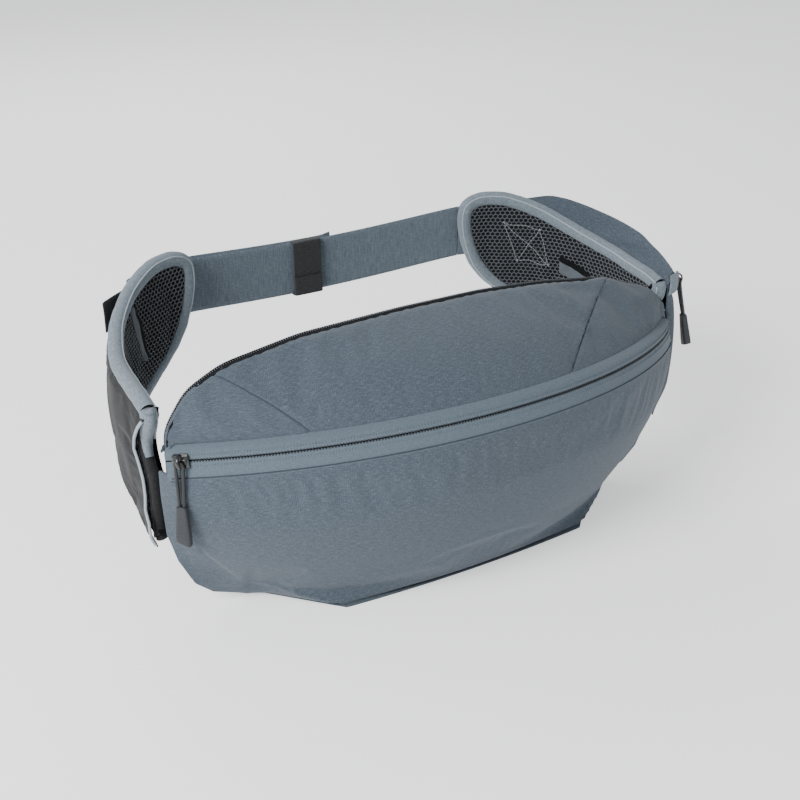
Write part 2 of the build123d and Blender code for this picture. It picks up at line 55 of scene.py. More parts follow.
def addNode(tree, kind, values=(), links=(), **settings):
    node = tree.nodes.new(kind)
    for key, value in settings.items():
        setattr(node, key, value)
    for socket, value in dict(values).items():
        node.inputs[socket].default_value = value
    for socket, source in dict(links).items():
        tree.links.new(source, node.inputs[socket])
    return node


def addObject(name, data):
    obj = bpy.data.objects.new(name, data)
    bpy.context.scene.collection.objects.link(obj)
    return obj


def addMesh(name, points, edges=(), faces=()):
    mesh = bpy.data.meshes.new(name)
    mesh.from_pydata([tuple(v) for v in np.asarray(points, float) * mm], edges, faces)
    return mesh


def newMaterial(name, **constants):
    material = bpy.data.materials.new(name)
    material.use_nodes = True
    shader = material.node_tree.nodes["Principled BSDF"]
    for key, value in constants.items():
        shader.inputs[key.replace("_", " ")].default_value = value
    return material, material.node_tree, shader


# cloth seen in millimetres of its own uv: streaks, grain and a thread relief
def wovenMaterial(name, shades, slub, grain, thread, contrast, **constants):
    material, tree, shader = newMaterial(name, **constants)
    uv = addNode(tree, "ShaderNodeUVMap", uv_map="cloth")
    layers = []
    for size, detail in ((slub, 3.0), (grain, 2.0)):
        scale = (1000 / size[0], 1000 / size[1], 1.0)
        place = addNode(tree, "ShaderNodeMapping", {"Scale": scale}, {"Vector": uv.outputs["UV"]})
        layers.append(addNode(
            tree, "ShaderNodeTexNoise", {"Scale": 1.0, "Detail": detail, "Roughness": 0.6},
            {"Vector": place.outputs["Vector"]}, noise_dimensions="2D",
        ))
    both = addNode(
        tree, "ShaderNodeMix", {"Factor": 0.45},
        {"A": layers[0].outputs["Fac"], "B": layers[1].outputs["Fac"]},
    )
    ramp = addNode(tree, "ShaderNodeValToRGB", links={"Fac": both.outputs["Result"]})
    ends = ((-contrast, shades[0]), (contrast, shades[2]))
    for element, (shift, shade) in zip(ramp.color_ramp.elements, ends):
        element.position = 0.5 + shift
        element.color = paint(shade)
    middle = ramp.color_ramp.elements.new(0.5)
    middle.color = paint(shades[1])
    tree.links.new(ramp.outputs["Color"], shader.inputs["Base Color"])
    waves = []
    for direction, pitch in (("X", thread[0]), ("Y", thread[1])):
        waves.append(addNode(
            tree, "ShaderNodeTexWave",
            {"Scale": np.pi * 1000 / (20 * pitch), "Distortion": 0.6, "Detail": 1.0, "Detail Scale": 2.0},
            {"Vector": uv.outputs["UV"]}, bands_direction=direction,
        ))
    weave = addNode(
        tree, "ShaderNodeMath", links={0: waves[0].outputs["Fac"], 1: waves[1].outputs["Fac"]},
        operation="MULTIPLY",
    )
    relief = addNode(
        tree, "ShaderNodeMath", {1: 0.8},
        {0: weave.outputs["Value"], 2: both.outputs["Result"]}, operation="MULTIPLY_ADD",
    )
    bump = addNode(
        tree, "ShaderNodeBump", {"Strength": 0.35, "Distance": 0.0002},
        {"Height": relief.outputs["Value"]},
    )
    tree.links.new(bump.outputs["Normal"], shader.inputs["Normal"])
    return material


# one finish with a little unevenness in its colour and surface
def plainMaterial(name, code, grainSize=1.2, depth=0.05, variation=0.12, **constants):
    material, tree, shader = newMaterial(name, **constants)
    place = addNode(tree, "ShaderNodeTexCoord")
    noise = addNode(
        tree, "ShaderNodeTexNoise", {"Scale": 1000 / grainSize, "Detail": 3.0},
        {"Vector": place.outputs["Object"]},
    )
    base = paint(code)
    ramp = addNode(tree, "ShaderNodeValToRGB", links={"Fac": noise.outputs["Fac"]})
    for element, at, gain in zip(ramp.color_ramp.elements, (0.3, 0.7), (1 - variation, 1 + variation)):
        element.position = at
        element.color = (*[min(c * gain, 1.0) for c in base[:3]], 1.0)
    tree.links.new(ramp.outputs["Color"], shader.inputs["Base Color"])
    bump = addNode(
        tree, "ShaderNodeBump", {"Strength": 0.3, "Distance": depth * mm},
        {"Height": noise.outputs["Fac"]},
    )
    tree.links.new(bump.outputs["Normal"], shader.inputs["Normal"])
    return material


# sizes after the shades: streaks, grain and thread spacing in mm, threads drawn coarse enough to show
heather = ("#353e47", "#434d57", "#606a74")
clothLook = dict(Roughness=0.93, Sheen_Weight=0.12, Sheen_Roughness=0.6, Specular_IOR_Level=0.2)
# yarns of two greys in short streaks along the cloth
shellCloth = wovenMaterial(
    "mélange polyester plain weave", heather, (4.2, 0.55), (0.5, 2.4), (0.6, 0.5), 0.26, **clothLook)
# the same yarns in a paler mix, where cloth is turned over an edge
borderCloth = wovenMaterial(
    "mélange polyester edge cloth", ("#58636c", "#6d7881", "#8c969e"), (3.6, 0.6), (0.6, 2.4), (0.6, 0.5),
    0.28, **clothLook)
# even, close knit with hardly a streak
tapeCloth = wovenMaterial(
    "zip tape knitted polyester", ("#47525c", "#54606a", "#65707a"), (3.0, 0.5), (0.5, 2.0), (0.8, 0.8),
    0.3, **clothLook)
# ribs across the strap
webbingCloth = wovenMaterial(
    "ribbed nylon webbing", ("#434d57", "#5a6670", "#727e88"), (0.8, 9.0), (4.0, 0.6), (1.3, 0.6), 0.28,
    **clothLook)
# shell cloth without its palest yarns
baseCloth = wovenMaterial(
    "base cloth polyester", ("#353e46", "#444e57", "#5b6670"), (4.2, 0.55), (0.5, 2.4), (0.6, 0.5), 0.22,
    **clothLook)
# thin, flat and smooth
liningCloth = wovenMaterial(
    "lining taffeta", ("#4f5357", "#63676b", "#777b7f"), (2.0, 0.5), (0.5, 2.0), (0.35, 0.35), 0.3,
    **clothLook)
# black, with a slight shine over the folds
stretchCloth = wovenMaterial(
    "stretch knit black", ("#131416", "#1d1e20", "#2b2c2f"), (2.5, 1.0), (0.8, 2.5), (0.5, 0.5), 0.25,
    Roughness=0.75, Sheen_Weight=0.05, Sheen_Roughness=0.5, Specular_IOR_Level=0.3)
# black with greyer ribs
elasticCloth = wovenMaterial(
    "woven black elastic", ("#1b1c1e", "#27292b", "#36383b"), (4.0, 0.7), (0.7, 3.0), (0.8, 0.6), 0.25,
    Roughness=0.8, Sheen_Weight=0.1, Sheen_Roughness=0.5, Specular_IOR_Level=0.3)
# near black behind the paler yarns of the net
meshBase = plainMaterial("spacer mesh backing", "#131416", Roughness=0.95, Specular_IOR_Level=0.1)
meshYarn = plainMaterial(
    "spacer mesh yarn polyester", "#585c61", 0.4, 0.04, Roughness=0.7, Specular_IOR_Level=0.35)
foamSkin = plainMaterial("foam edge", "#1a1b1d", Roughness=0.95, Specular_IOR_Level=0.1)
# seams: a dark line painted as the shade in a seam's groove; sewing cord pale where it lies on the cloth
seamGrooveShade = plainMaterial("painted seam groove shade", "#3a434b", 0.5, Roughness=0.9, Specular_IOR_Level=0.1)
lightThread = plainMaterial("seam cord polyester", "#98a2a9", 0.5, Roughness=0.85, Specular_IOR_Level=0.2)
whiteThread = plainMaterial("sewing thread light grey", "#8d9296", 0.4, Roughness=0.7)
# hard parts: satin coil, glossy paint over metal, dull rubber, matt hook and loop
coilPlastic = plainMaterial(
    "zip coil nylon", "#23272b", 0.5, 0.02, Roughness=0.45, Specular_IOR_Level=0.4)
sliderMetal = plainMaterial(
    "painted die cast slider", "#17181a", 0.6, 0.02, Roughness=0.32, Specular_IOR_Level=0.5,
    Coat_Weight=0.4)
cordNylon = plainMaterial("braided cord nylon", "#1c1d1f", 0.7, 0.08, Roughness=0.5, Specular_IOR_Level=0.5)
gripRubber = plainMaterial(
    "moulded soft grip", "#2d3034", 0.8, 0.03, Roughness=0.55, Specular_IOR_Level=0.4)
hookPlastic = plainMaterial("hook and loop nylon", "#3c444c", 0.6, 0.2, Roughness=0.9)
greyWeb = plainMaterial("grey webbing strip", "#50565d", 0.8, 0.06, Roughness=0.9)


def makeObject(name, verts, faces, material, uvs=None, smooth=40):
    mesh = addMesh(name, verts, faces=faces)
    if uvs is not None:
        layer = mesh.uv_layers.new(name="cloth")
        index = np.empty(len(mesh.loops), int)
        mesh.loops.foreach_get("vertex_index", index)
        layer.data.foreach_set("uv", (np.asarray(uvs, float)[index] * mm).astype(np.float32).ravel())
    mesh.materials.append(material)
    mesh.shade_smooth()
    mesh.set_sharp_from_angle(angle=np.radians(smooth))
    mesh.update()
    return addObject(name, mesh)


def normalsOf(grid):
    across, along = np.gradient(grid, axis=1), np.gradient(grid, axis=0)
    normal = np.cross(across, along)
    return normal / np.maximum(np.linalg.norm(normal, axis=2, keepdims=True), 1e-9)


def gridUvs(grid):
    stepsU = np.linalg.norm(np.diff(grid, axis=1), axis=2)
    stepsV = np.linalg.norm(np.diff(grid, axis=0), axis=2)
    u = np.concatenate([np.zeros((grid.shape[0], 1)), np.cumsum(stepsU, axis=1)], axis=1)
    u -= u[:, [grid.shape[1] // 2]]
    v = np.concatenate([np.zeros((1, grid.shape[1])), np.cumsum(stepsV, axis=0)], axis=0)
    return np.stack([u, v], axis=2).reshape(-1, 2)


def gridFaces(rows, cols, start=0, flip=False):
    k = np.arange(rows * cols).reshape(rows, cols) + start
    quads = np.stack([k[:-1, :-1], k[:-1, 1:], k[1:, 1:], k[1:, :-1]], axis=2).reshape(-1, 4)
    return [tuple(q[::-1]) if flip else tuple(q) for q in quads.tolist()]


# a closed piece of cloth under a grid of points, with rounded raw edges
def clothPiece(name, grid, thickness, material, flip=False, bulge=0.35, smooth=50):
    grid = np.asarray(grid, float)
    rows, cols = grid.shape[:2]
    normal = normalsOf(grid) * (-1 if flip else 1)
    inner = grid - normal * thickness
    border = [(0, c) for c in range(cols)] + [(r, cols - 1) for r in range(1, rows)]
    border += [(rows - 1, c) for c in range(cols - 2, -1, -1)] + [(r, 0) for r in range(rows - 2, 0, -1)]
    rim = []
    for r, c in border:
        inside = grid[min(max(r, 1), rows - 2), min(max(c, 1), cols - 2)]
        away = grid[r, c] - inside
        away /= max(np.linalg.norm(away), 1e-9)
        rim.append((grid[r, c] + inner[r, c]) / 2 + away * thickness * bulge)
    count = rows * cols
    verts = np.concatenate([grid.reshape(-1, 3), inner.reshape(-1, 3), np.array(rim)])
    faces = gridFaces(rows, cols, 0, flip) + gridFaces(rows, cols, count, not flip)
    n = len(border)
    for k in range(n):
        a = border[k][0] * cols + border[k][1]
        b = border[(k + 1) % n][0] * cols + border[(k + 1) % n][1]
        ra, rb = 2 * count + k, 2 * count + (k + 1) % n
        outside, under = (b, a, ra, rb), (rb, ra, a + count, b + count)
        faces += [outside[::-1], under[::-1]] if flip else [outside, under]
    flat = gridUvs(grid)
    rimUvs = np.array([flat[r * cols + c] for r, c in border])
    return makeObject(name, verts, faces, material, np.concatenate([flat, flat, rimUvs]), smooth)


# a skin over rings of points, closed along its length or capped at both ends
def tubePiece(name, rings, material, closed=False, flip=False, smooth=50):
    rings = np.asarray(rings, float)
    n, m = rings.shape[:2]
    faces = []
    for a in range(n if closed else n - 1):
        b = (a + 1) % n
        for k in range(m):
            j = (k + 1) % m
            face = (a * m + k, a * m + j, b * m + j, b * m + k)
            faces.append(face[::-1] if flip else face)
    verts = rings.reshape(-1, 3)
    if not closed:
        first, last = tuple(range(m)), tuple(range((n - 1) * m, n * m))
        faces += [first if flip else first[::-1], last[::-1] if flip else last]
    roundLength = np.concatenate([[0], np.cumsum(np.linalg.norm(np.diff(rings[0], axis=0), axis=1))])
    along = np.concatenate([[0], np.cumsum(np.linalg.norm(np.diff(rings[:, 0], axis=0), axis=1))])
    uvs = np.stack(np.meshgrid(roundLength, along), axis=2)[:, :, ::-1].reshape(-1, 2)
    return makeObject(name, verts, faces, material, uvs, smooth)


# an elliptical tube; radii are (across, out) and out points away from the surface
def tubeAlong(name, path, radii, material, out, closed=False, sides=12):
    path, out = np.asarray(path, float), np.asarray(out, float)
    if closed:
        tangent = np.roll(path, -1, axis=0) - np.roll(path, 1, axis=0)
    else:
        tangent = np.gradient(path, axis=0)
    tangent /= np.linalg.norm(tangent, axis=1, keepdims=True)
    across = np.cross(out, tangent)
    across /= np.maximum(np.linalg.norm(across, axis=1, keepdims=True), 1e-9)
    out = np.cross(tangent, across)
    turn = np.linspace(0, 2 * np.pi, sides, endpoint=False)
    wide, high = (np.broadcast_to(r, len(path))[:, None, None] for r in radii)
    rings = (path[:, None] + across[:, None] * wide * np.cos(turn)[None, :, None]
             + out[:, None] * high * np.sin(turn)[None, :, None])
    return tubePiece(name, rings, material, closed, flip=True)


def resample(path, count, closed=False):
    path = np.asarray(path, float)
    if closed:
        path = np.concatenate([path, path[:1]])
    length = np.concatenate([[0], np.cumsum(np.linalg.norm(np.diff(path, axis=0), axis=1))])
    at = np.linspace(0, length[-1], count, endpoint=not closed)
    return np.stack([np.interp(at, length, path[:, k]) for k in range(path.shape[1])], axis=1)


# lets a sheet of cloth settle with its border held; points move by at most limit
def settle(grid, hold=2, pressure=4.0, slack=0.01, limit=3.0, flip=False, seams=()):
    rows, cols = grid.shape[:2]
    mesh = addMesh("settling", grid.reshape(-1, 3), faces=gridFaces(rows, cols, 0, flip))
    obj = addObject("settling", mesh)
    group = obj.vertex_groups.new(name="held")
    r, c = np.meshgrid(np.arange(rows), np.arange(cols), indexing="ij")
    edge = np.minimum(np.minimum(r, rows - 1 - r), np.minimum(c, cols - 1 - c))
    weight = np.clip(1 - (edge - hold + 1) / 3, 0, 1)
    weight[edge < hold] = 1
    for column in seams:
        weight[:, column] = np.maximum(weight[:, column], 0.6)
    for index, value in enumerate(weight.ravel().tolist()):
        if value > 0:
            group.add([index], value, "REPLACE")
    cloth = obj.modifiers.new("settle", "CLOTH")
    cloth.settings.quality = 4
    cloth.settings.mass = 0.2
    cloth.settings.tension_stiffness = cloth.settings.compression_stiffness = 20
    cloth.settings.shear_stiffness = 8
    cloth.settings.bending_stiffness = 0.8
    cloth.settings.air_damping = 3
    cloth.settings.vertex_group_mass = "held"
    cloth.settings.use_pressure = True
    cloth.settings.uniform_pressure_force = pressure
    cloth.settings.shrink_min = -slack
    cloth.settings.effector_weights.gravity = 0
    cloth.collision_settings.use_collision = False
    cloth.point_cache.frame_start, cloth.point_cache.frame_end = 1, 20
    for number in range(1, 21):
        bpy.context.scene.frame_set(number)
    solved = obj.evaluated_get(bpy.context.evaluated_depsgraph_get())
    moved = np.empty(rows * cols * 3)
    solved.data.vertices.foreach_get("co", moved)
    bpy.data.objects.remove(obj)
    bpy.context.scene.frame_set(1)
    shift = moved.reshape(rows, cols, 3) / mm - grid
    size = np.linalg.norm(shift, axis=2, keepdims=True)
    shift *= limit * np.tanh(size / limit) / np.maximum(size, 1e-9)
    return grid + shift


# geometry node groups: things in a row, and a knitted net
def groupSockets(tree, sockets):
    for name, kind in sockets:
        tree.interface.new_socket(name, in_out="INPUT", socket_type=kind)
    tree.interface.new_socket("Geometry", in_out="OUTPUT", socket_type="NodeSocketGeometry")
    return addNode(tree, "NodeGroupInput"), addNode(tree, "NodeGroupOutput")


def closeGroup(tree, geometry, given, result):
    real = addNode(tree, "GeometryNodeRealizeInstances", links={"Geometry": geometry})
    dressed = addNode(tree, "GeometryNodeSetMaterial",
                      links={"Geometry": real.outputs[0], "Material": given.outputs["Finish"]})
    tree.links.new(dressed.outputs[0], result.inputs[0])


rowTree = bpy.data.node_groups.new("parts in a row", "GeometryNodeTree")
given, result = groupSockets(rowTree, [
    ("Geometry", "NodeSocketGeometry"), ("Pitch", "NodeSocketFloat"), ("Part", "NodeSocketObject"),
    ("Finish", "NodeSocketMaterial")])
line = addNode(rowTree, "GeometryNodeMeshToCurve", links={"Mesh": given.outputs["Geometry"]})
spaced = addNode(rowTree, "GeometryNodeResampleCurve",
                 links={"Curve": line.outputs[0], "Length": given.outputs["Pitch"]}, mode="LENGTH")
outward = addNode(rowTree, "GeometryNodeInputNamedAttribute", {"Name": "outward"}, data_type="FLOAT_VECTOR")
tangent = addNode(rowTree, "GeometryNodeInputTangent")
facing = addNode(rowTree, "FunctionNodeAlignRotationToVector",
                 links={"Vector": outward.outputs["Attribute"]}, axis="Z")
turned = addNode(rowTree, "FunctionNodeAlignRotationToVector",
                 links={"Rotation": facing.outputs[0], "Vector": tangent.outputs[0]},
                 axis="X", pivot_axis="Z")
partInfo = addNode(rowTree, "GeometryNodeObjectInfo", links={"Object": given.outputs["Part"]})
placed = addNode(rowTree, "GeometryNodeInstanceOnPoints", links={
    "Points": spaced.outputs[0], "Instance": partInfo.outputs["Geometry"], "Rotation": turned.outputs[0]})
closeGroup(rowTree, placed.outputs[0], given, result)

netTree = bpy.data.node_groups.new("knitted net", "GeometryNodeTree")
given, result = groupSockets(netTree, [
    ("Geometry", "NodeSocketGeometry"), ("Thread", "NodeSocketFloat"), ("Finish", "NodeSocketMaterial")])
cells = addNode(netTree, "GeometryNodeDualMesh", links={"Mesh": given.outputs["Geometry"]})
lines = addNode(netTree, "GeometryNodeMeshToCurve", links={"Mesh": cells.outputs[0]})
circle = addNode(netTree, "GeometryNodeCurvePrimitiveCircle", {"Resolution": 5},
                 {"Radius": given.outputs["Thread"]})
yarn = addNode(netTree, "GeometryNodeCurveToMesh",
               links={"Curve": lines.outputs[0], "Profile Curve": circle.outputs[0]})
smoothed = addNode(netTree, "GeometryNodeSetShadeSmooth", links={"Geometry": yarn.outputs[0]})
closeGroup(netTree, smoothed.outputs[0], given, result)


# runs a node group on a source object and keeps the result as a plain mesh
def grow(name, source, tree, **inputs):
    modifier = source.modifiers.new("grow", "NODES")
    modifier.node_group = tree
    for item in tree.interface.items_tree:
        if item.item_type == "SOCKET" and item.in_out == "INPUT" and item.name in inputs:
            modifier[item.identifier] = inputs[item.name]
    source.update_tag()
    bpy.context.view_layer.update()
    solved = source.evaluated_get(bpy.context.evaluated_depsgraph_get())
    mesh = bpy.data.meshes.new_from_object(solved)
    mesh.name = name
    print(name, len(mesh.vertices), "points")
    source.modifiers.remove(modifier)
    bpy.data.objects.remove(source)
    return addObject(name, mesh)


# copies of a small part along a path, at an even pitch
def row(name, path, out, pitch, part, material):
    path, out = np.asarray(path, float), np.asarray(out, float)
    mesh = addMesh(name, path, edges=[(k, k + 1) for k in range(len(path) - 1)])
    mesh.attributes.new("outward", "FLOAT_VECTOR", "POINT").data.foreach_set(
        "vector", out.astype(np.float32).ravel())
    source = addObject(name + " path", mesh)
    return grow(name, source, rowTree, Pitch=pitch * mm, Part=part, Finish=material)


# a honeycomb of yarn over a surface given by place(a, b), where allowed(a, b)
def net(name, place, box, cell, thread, material, allowed):
    (a0, b0), (a1, b1) = box
    columns = int((a1 - a0) / cell) + 2
    netRows = int((b1 - b0) / (cell * 0.75)) + 2
    j, k = np.meshgrid(np.arange(netRows), np.arange(columns), indexing="ij")
    a = a0 + (k + 0.5 * (j % 2)) * cell
    b = b0 + j * cell * 0.75
    good = allowed(a, b)
    index = np.arange(netRows * columns).reshape(netRows, columns)
    faces = []
    for r in range(netRows - 1):
        for c in range(columns - 1):
            here = [index[r, c], index[r, c + 1], index[r + 1, c], index[r + 1, c + 1]]
            pair = ((0, 1, 2), (1, 3, 2)) if r % 2 == 0 else ((0, 1, 3), (0, 3, 2))
            for corners in pair:
                triangle = [here[q] for q in corners]
                if all(good.ravel()[q] for q in triangle):
                    faces.append(tuple(int(q) for q in triangle))
    points = place(a.ravel(), b.ravel())
    mesh = addMesh(name, points, faces=faces)
    work = bmesh.new()
    work.from_mesh(mesh)
    bmesh.ops.delete(work, geom=[v for v in work.verts if not v.link_faces], context="VERTS")
    work.to_mesh(mesh)
    work.free()
    source = addObject(name + " cells", mesh)
    return grow(name, source, netTree, Thread=thread * mm, Finish=material)


# a rounded block in millimetres, in the frame that the matrix gives
def block(name, size, bevel, material, matrix=None, taper=1.0, segments=3):
    work = bmesh.new()
    bmesh.ops.create_cube(work, size=1.0)
    for v in work.verts:
        narrow = taper if v.co.z > 0 else 1.0
        v.co = Vector((v.co.x * size[0] * narrow, v.co.y * size[1], v.co.z * size[2]))
    if bevel:
        bmesh.ops.bevel(work, geom=list(work.edges), offset=bevel, segments=segments, profile=0.5,
                        affect="EDGES")
    if matrix is not None:
        work.transform(matrix)
    mesh = bpy.data.meshes.new(name)
    for v in work.verts:
        v.co *= mm
    bmesh.ops.recalc_face_normals(work, faces=list(work.faces))
    work.to_mesh(mesh)
    work.free()
    mesh.materials.append(material)
    mesh.shade_smooth()
    mesh.set_sharp_from_angle(angle=np.radians(45))
    return addObject(name, mesh)


patterns = []


# a small part that rows copy; it leaves the scene at the end
def pattern(*words, **settings):
    patterns.append(block(*words, **settings))
    return patterns[-1]


def frameMatrix(origin, xDir, yDir, zDir):
    columns = [Vector(xDir), Vector(yDir), Vector(zDir)]
    matrix = Matrix((columns[0], columns[1], columns[2])).transposed().to_4x4()
    matrix.translation = Vector(origin)
    return matrix


# several meshes as one
def joined(name, parts):
    work = bmesh.new()
    for part in parts:
        work.from_mesh(part.data)
    mesh = bpy.data.meshes.new(name)
    material = parts[0].data.materials[0]
    for part in parts:
        bpy.data.objects.remove(part)
    work.to_mesh(mesh)
    work.free()
    mesh.materials.append(material)
    return addObject(name, mesh)


def attach(obj, body, *nodes, slot=None):
    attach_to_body(obj, body)
    if nodes:
        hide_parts(*nodes)
    return obj


print("helpers ready")

# shared lines: the main zip's circle and the wings' upright cylinders
tilt = np.radians(14.9)
zipCentre = np.array([0.0, 187.6055, 70.507])
zipSize = dict(radius=260.5, half=46.4, park=44.1)  # radius in mm, angles in degrees from the middle


def zipPoint(angle, radius=zipSize["radius"], rise=0.0):
    a = np.radians(np.asarray(angle, float))
    radius, rise = np.broadcast_arrays(np.asarray(radius, float), np.asarray(rise, float))
    return np.stack([
        radius * np.sin(a),
        zipCentre[1] - radius * np.cos(a) * np.cos(tilt) + rise * np.sin(tilt),
        zipCentre[2] + radius * np.cos(a) * np.sin(tilt) + rise * np.cos(tilt)], axis=-1)


def zipOut(angle):
    a = np.radians(np.asarray(angle, float))
    return np.stack([np.sin(a), -np.cos(a) * np.cos(tilt), np.cos(a) * np.sin(tilt)], axis=-1)


zipUp = np.array([0, np.sin(tilt), np.cos(tilt)])
wingSize = dict(axisX=92.0, axisY=70.0, middle=98.5)  # the upright axis and the band's middle radius


# t is the length along the band, 0 where it starts to turn
def wingPoint(t, z, radius, side):
    t, z, radius = np.broadcast_arrays(*(np.asarray(value, float) for value in (t, z, radius)))
    turn = np.maximum(t, 0) / wingSize["middle"]
    x = wingSize["axisX"] + radius * np.cos(turn)
    y = wingSize["axisY"] + radius * np.sin(turn) + np.minimum(t, 0)
    return np.stack([side * x, y, z], axis=-1)


def wingOut(t, side):
    turn = np.maximum(np.asarray(t, float), 0) / wingSize["middle"]
    return np.stack([side * np.cos(turn), np.sin(turn), 0 * turn], axis=-1)


# a closed polygon resampled and smoothed to round its corners
def roundLoop(points, sigma, count):
    loop = resample(points, count, closed=True)
    length = np.linalg.norm(np.diff(np.concatenate([loop, loop[:1]]), axis=0), axis=1).sum()
    step = length / count
    reach = int(4 * sigma / step)
    kernel = np.exp(-0.5 * (np.arange(-reach, reach + 1) * step / sigma) ** 2)
    kernel /= kernel.sum()
    wrapped = np.concatenate([loop[-reach:], loop, loop[:reach]])
    return np.stack([np.convolve(wrapped[:, k], kernel, mode="valid") for k in range(2)], axis=1)


# moves a counter-clockwise loop inwards
def insetLoop(loop, amount):
    tangent = np.roll(loop, -1, axis=0) - np.roll(loop, 1, axis=0)
    tangent /= np.linalg.norm(tangent, axis=1, keepdims=True)
    return loop + np.stack([-tangent[:, 1], tangent[:, 0]], axis=1) * amount


def insideLoop(loop, a, b):
    nextPoint = np.roll(loop, -1, axis=0)
    a, b = np.asarray(a, float)[..., None], np.asarray(b, float)[..., None]
    spans = (loop[:, 1] > b) != (nextPoint[:, 1] > b)
    step = nextPoint - loop
    cross = step[:, 0] * (b - loop[:, 1]) / (step[:, 1] + 1e-12) + loop[:, 0]
    return (spans & (a < cross)).sum(axis=-1) % 2 == 1


# points from a centre out to a loop: rings by loop points, closed round
def discGrid(loop, centre, rings, power=0.75):
    share = np.linspace(0, 1, rings) ** power
    share[0] = 0.02
    return centre + share[:, None, None] * (loop - centre)[None]


# pouch: front panel
# each level: height, lean in degrees, half width at the back and at the front, side and front depths
backFace = 24.0
pouchLevels = np.array([
    [0, 0, 138, 93, 46, 50], [27, 3, 168, 166, 3, 66], [55, 8, 186, 185, 6, 80],
    [85, 12, 190, 189.5, 9, 88.5], [114.04, 14.9, 188.65, 188.65, 10.35, 91.2]], float)


def levelAt(h):
    k = min(int(h), len(pouchLevels) - 2)
    f = h - k
    slopes = np.gradient(pouchLevels, axis=0)
    a, b = pouchLevels[k], pouchLevels[k + 1]
    return (a * (2 * f**3 - 3 * f**2 + 1) + slopes[k] * (f**3 - 2 * f**2 + f)
            + b * (3 * f**2 - 2 * f**3) + slopes[k + 1] * (f**3 - f**2))


def levelRow(h, count, backLimit=16.6):
    height, lean, backHalf, frontHalf, side, depth = levelAt(h)
    sagitta = depth - side
    radius = (frontHalf**2 + sagitta**2) / (2 * sagitta)
    reach = np.arcsin(min(frontHalf / radius, 1.0))
    turn = np.linspace(-reach, reach, 500)
    arc = np.stack([radius * np.sin(turn), -depth + radius * (1 - np.cos(turn))], axis=1)
    line = np.linspace(0, 1, 120)[:-1, None]
    left = np.array([-backHalf, 0.0]) * (1 - line) + np.array([-frontHalf, -side]) * line
    flat = np.concatenate([left, arc, left[::-1] * [-1, 1]])
    lean = np.radians(lean)
    points = np.stack([flat[:, 0], backFace + flat[:, 1] * np.cos(lean),
                       height - flat[:, 1] * np.sin(lean)], axis=1)
    return resample(points[points[:, 1] < backLimit], count)


frontSize = dict(rows=64, cols=230, topRise=-10.7, thick=1.8, topLevel=3.6, wrinkle=0.012, reach=5.0)
heights = frontSize["topLevel"] * np.linspace(0, 1, frontSize["rows"]) ** 0.9
frontGrid = np.array([levelRow(h, frontSize["cols"]) for h in heights])
share = np.linspace(-1, 1, frontSize["cols"])
topRow = resample(zipPoint(share * zipSize["half"], 261.0, frontSize["topRise"]), frontSize["cols"])
lift = topRow - frontGrid[-1]
rise = np.clip((heights / frontSize["topLevel"] - 0.45) / 0.55, 0, 1)
frontGrid += (rise * rise * (3 - 2 * rise))[:, None, None] * lift[None]
# the lowest 4 mm turn under the base
low = np.clip(frontGrid[:, :, 2], 0, 4)
tuck = 4 - np.sqrt(np.maximum(16 - (4 - low) ** 2, 0))
frontNormal = normalsOf(frontGrid)
frontGrid[:, :, :2] -= (frontNormal[:, :, :2] / np.maximum(
    np.linalg.norm(frontNormal[:, :, :2], axis=2, keepdims=True), 0.3)) * tuck[:, :, None] * 0.6
frontGrid[0, :, 2] = 0.4
# the panel's two ends are drawn on to the back panel's outline
hips = dict(height=[0, 3, 10, 20, 40, 62, 90, 130], half=[140, 146, 163, 174, 183.5, 189.5, 190.8, 190.3],
            columns=5, y=21.8, clear=0.4)
for k in range(hips["columns"]):
    share = (1 - k / hips["columns"]) ** 0.8
    for column, sign in ((k, -1), (-1 - k, 1)):
        upright = frontGrid[:, column, 2]
        half = np.interp(upright, hips["height"], hips["half"]) + hips["clear"]
        target = np.stack([sign * half, np.full(len(frontGrid), hips["y"]), upright], axis=1)
        frontGrid[:, column] += (target - frontGrid[:, column]) * share
frontGrid = settle(frontGrid, hold=2, pressure=3.0, slack=frontSize["wrinkle"], limit=frontSize["reach"])
frontPanel = clothPiece("front_panel_cloth", frontGrid, frontSize["thick"], shellCloth)
attach(frontPanel, "pouch", "front_panel", slot="shell_cloth")

baseSize = dict(thick=2.6, rows=14, cols=90)
baseEdge = levelRow(0, baseSize["cols"], 23.9) * [0.985, 1, 1]
baseBack = np.stack([baseEdge[:, 0], np.full(baseSize["cols"], 21.0), np.zeros(baseSize["cols"])], axis=1)
across = np.linspace(0, 1, baseSize["rows"])[:, None, None]
baseGrid = baseEdge[None] * (1 - across) + baseBack[None] * across
baseGrid[:, :, 2] = 0.15
basePanel = clothPiece("base_panel_cloth", baseGrid, baseSize["thick"], baseCloth)
attach(basePanel, "pouch", "base_panel", slot="base_cloth")
print("front and base made")

# back panel's outline, and the lid between it and the zip
backSize = dict(inside=16.6, rings=26, cell=4.2, thread=0.42)
backPolygon = [(124, 7), (163, 27), (186.5, 62), (189.5, 104), (190, 121), (182.5, 138), (166, 150.5),
               (127, 164.5), (77, 172), (30, 175.5), (-28, 176), (-97, 174), (-148, 166), (-171, 154.5),
               (-186, 132), (-186.5, 62), (-163, 27), (-124, 7)]
backLoop = roundLoop(backPolygon, 5.0, 900)
lidSize = dict(thick=1.6, bow=6.5, rows=32, centreCols=80, leftCols=36, rightCols=50,
               footRadius=255.9, footRise=8.2, endHeight=121.0, rimY=19.4)
seamLines = dict(left=((-115.0, -32.0), (-151.0, 13.0)), right=((54.0, -50.0), (122.0, 10.0)))

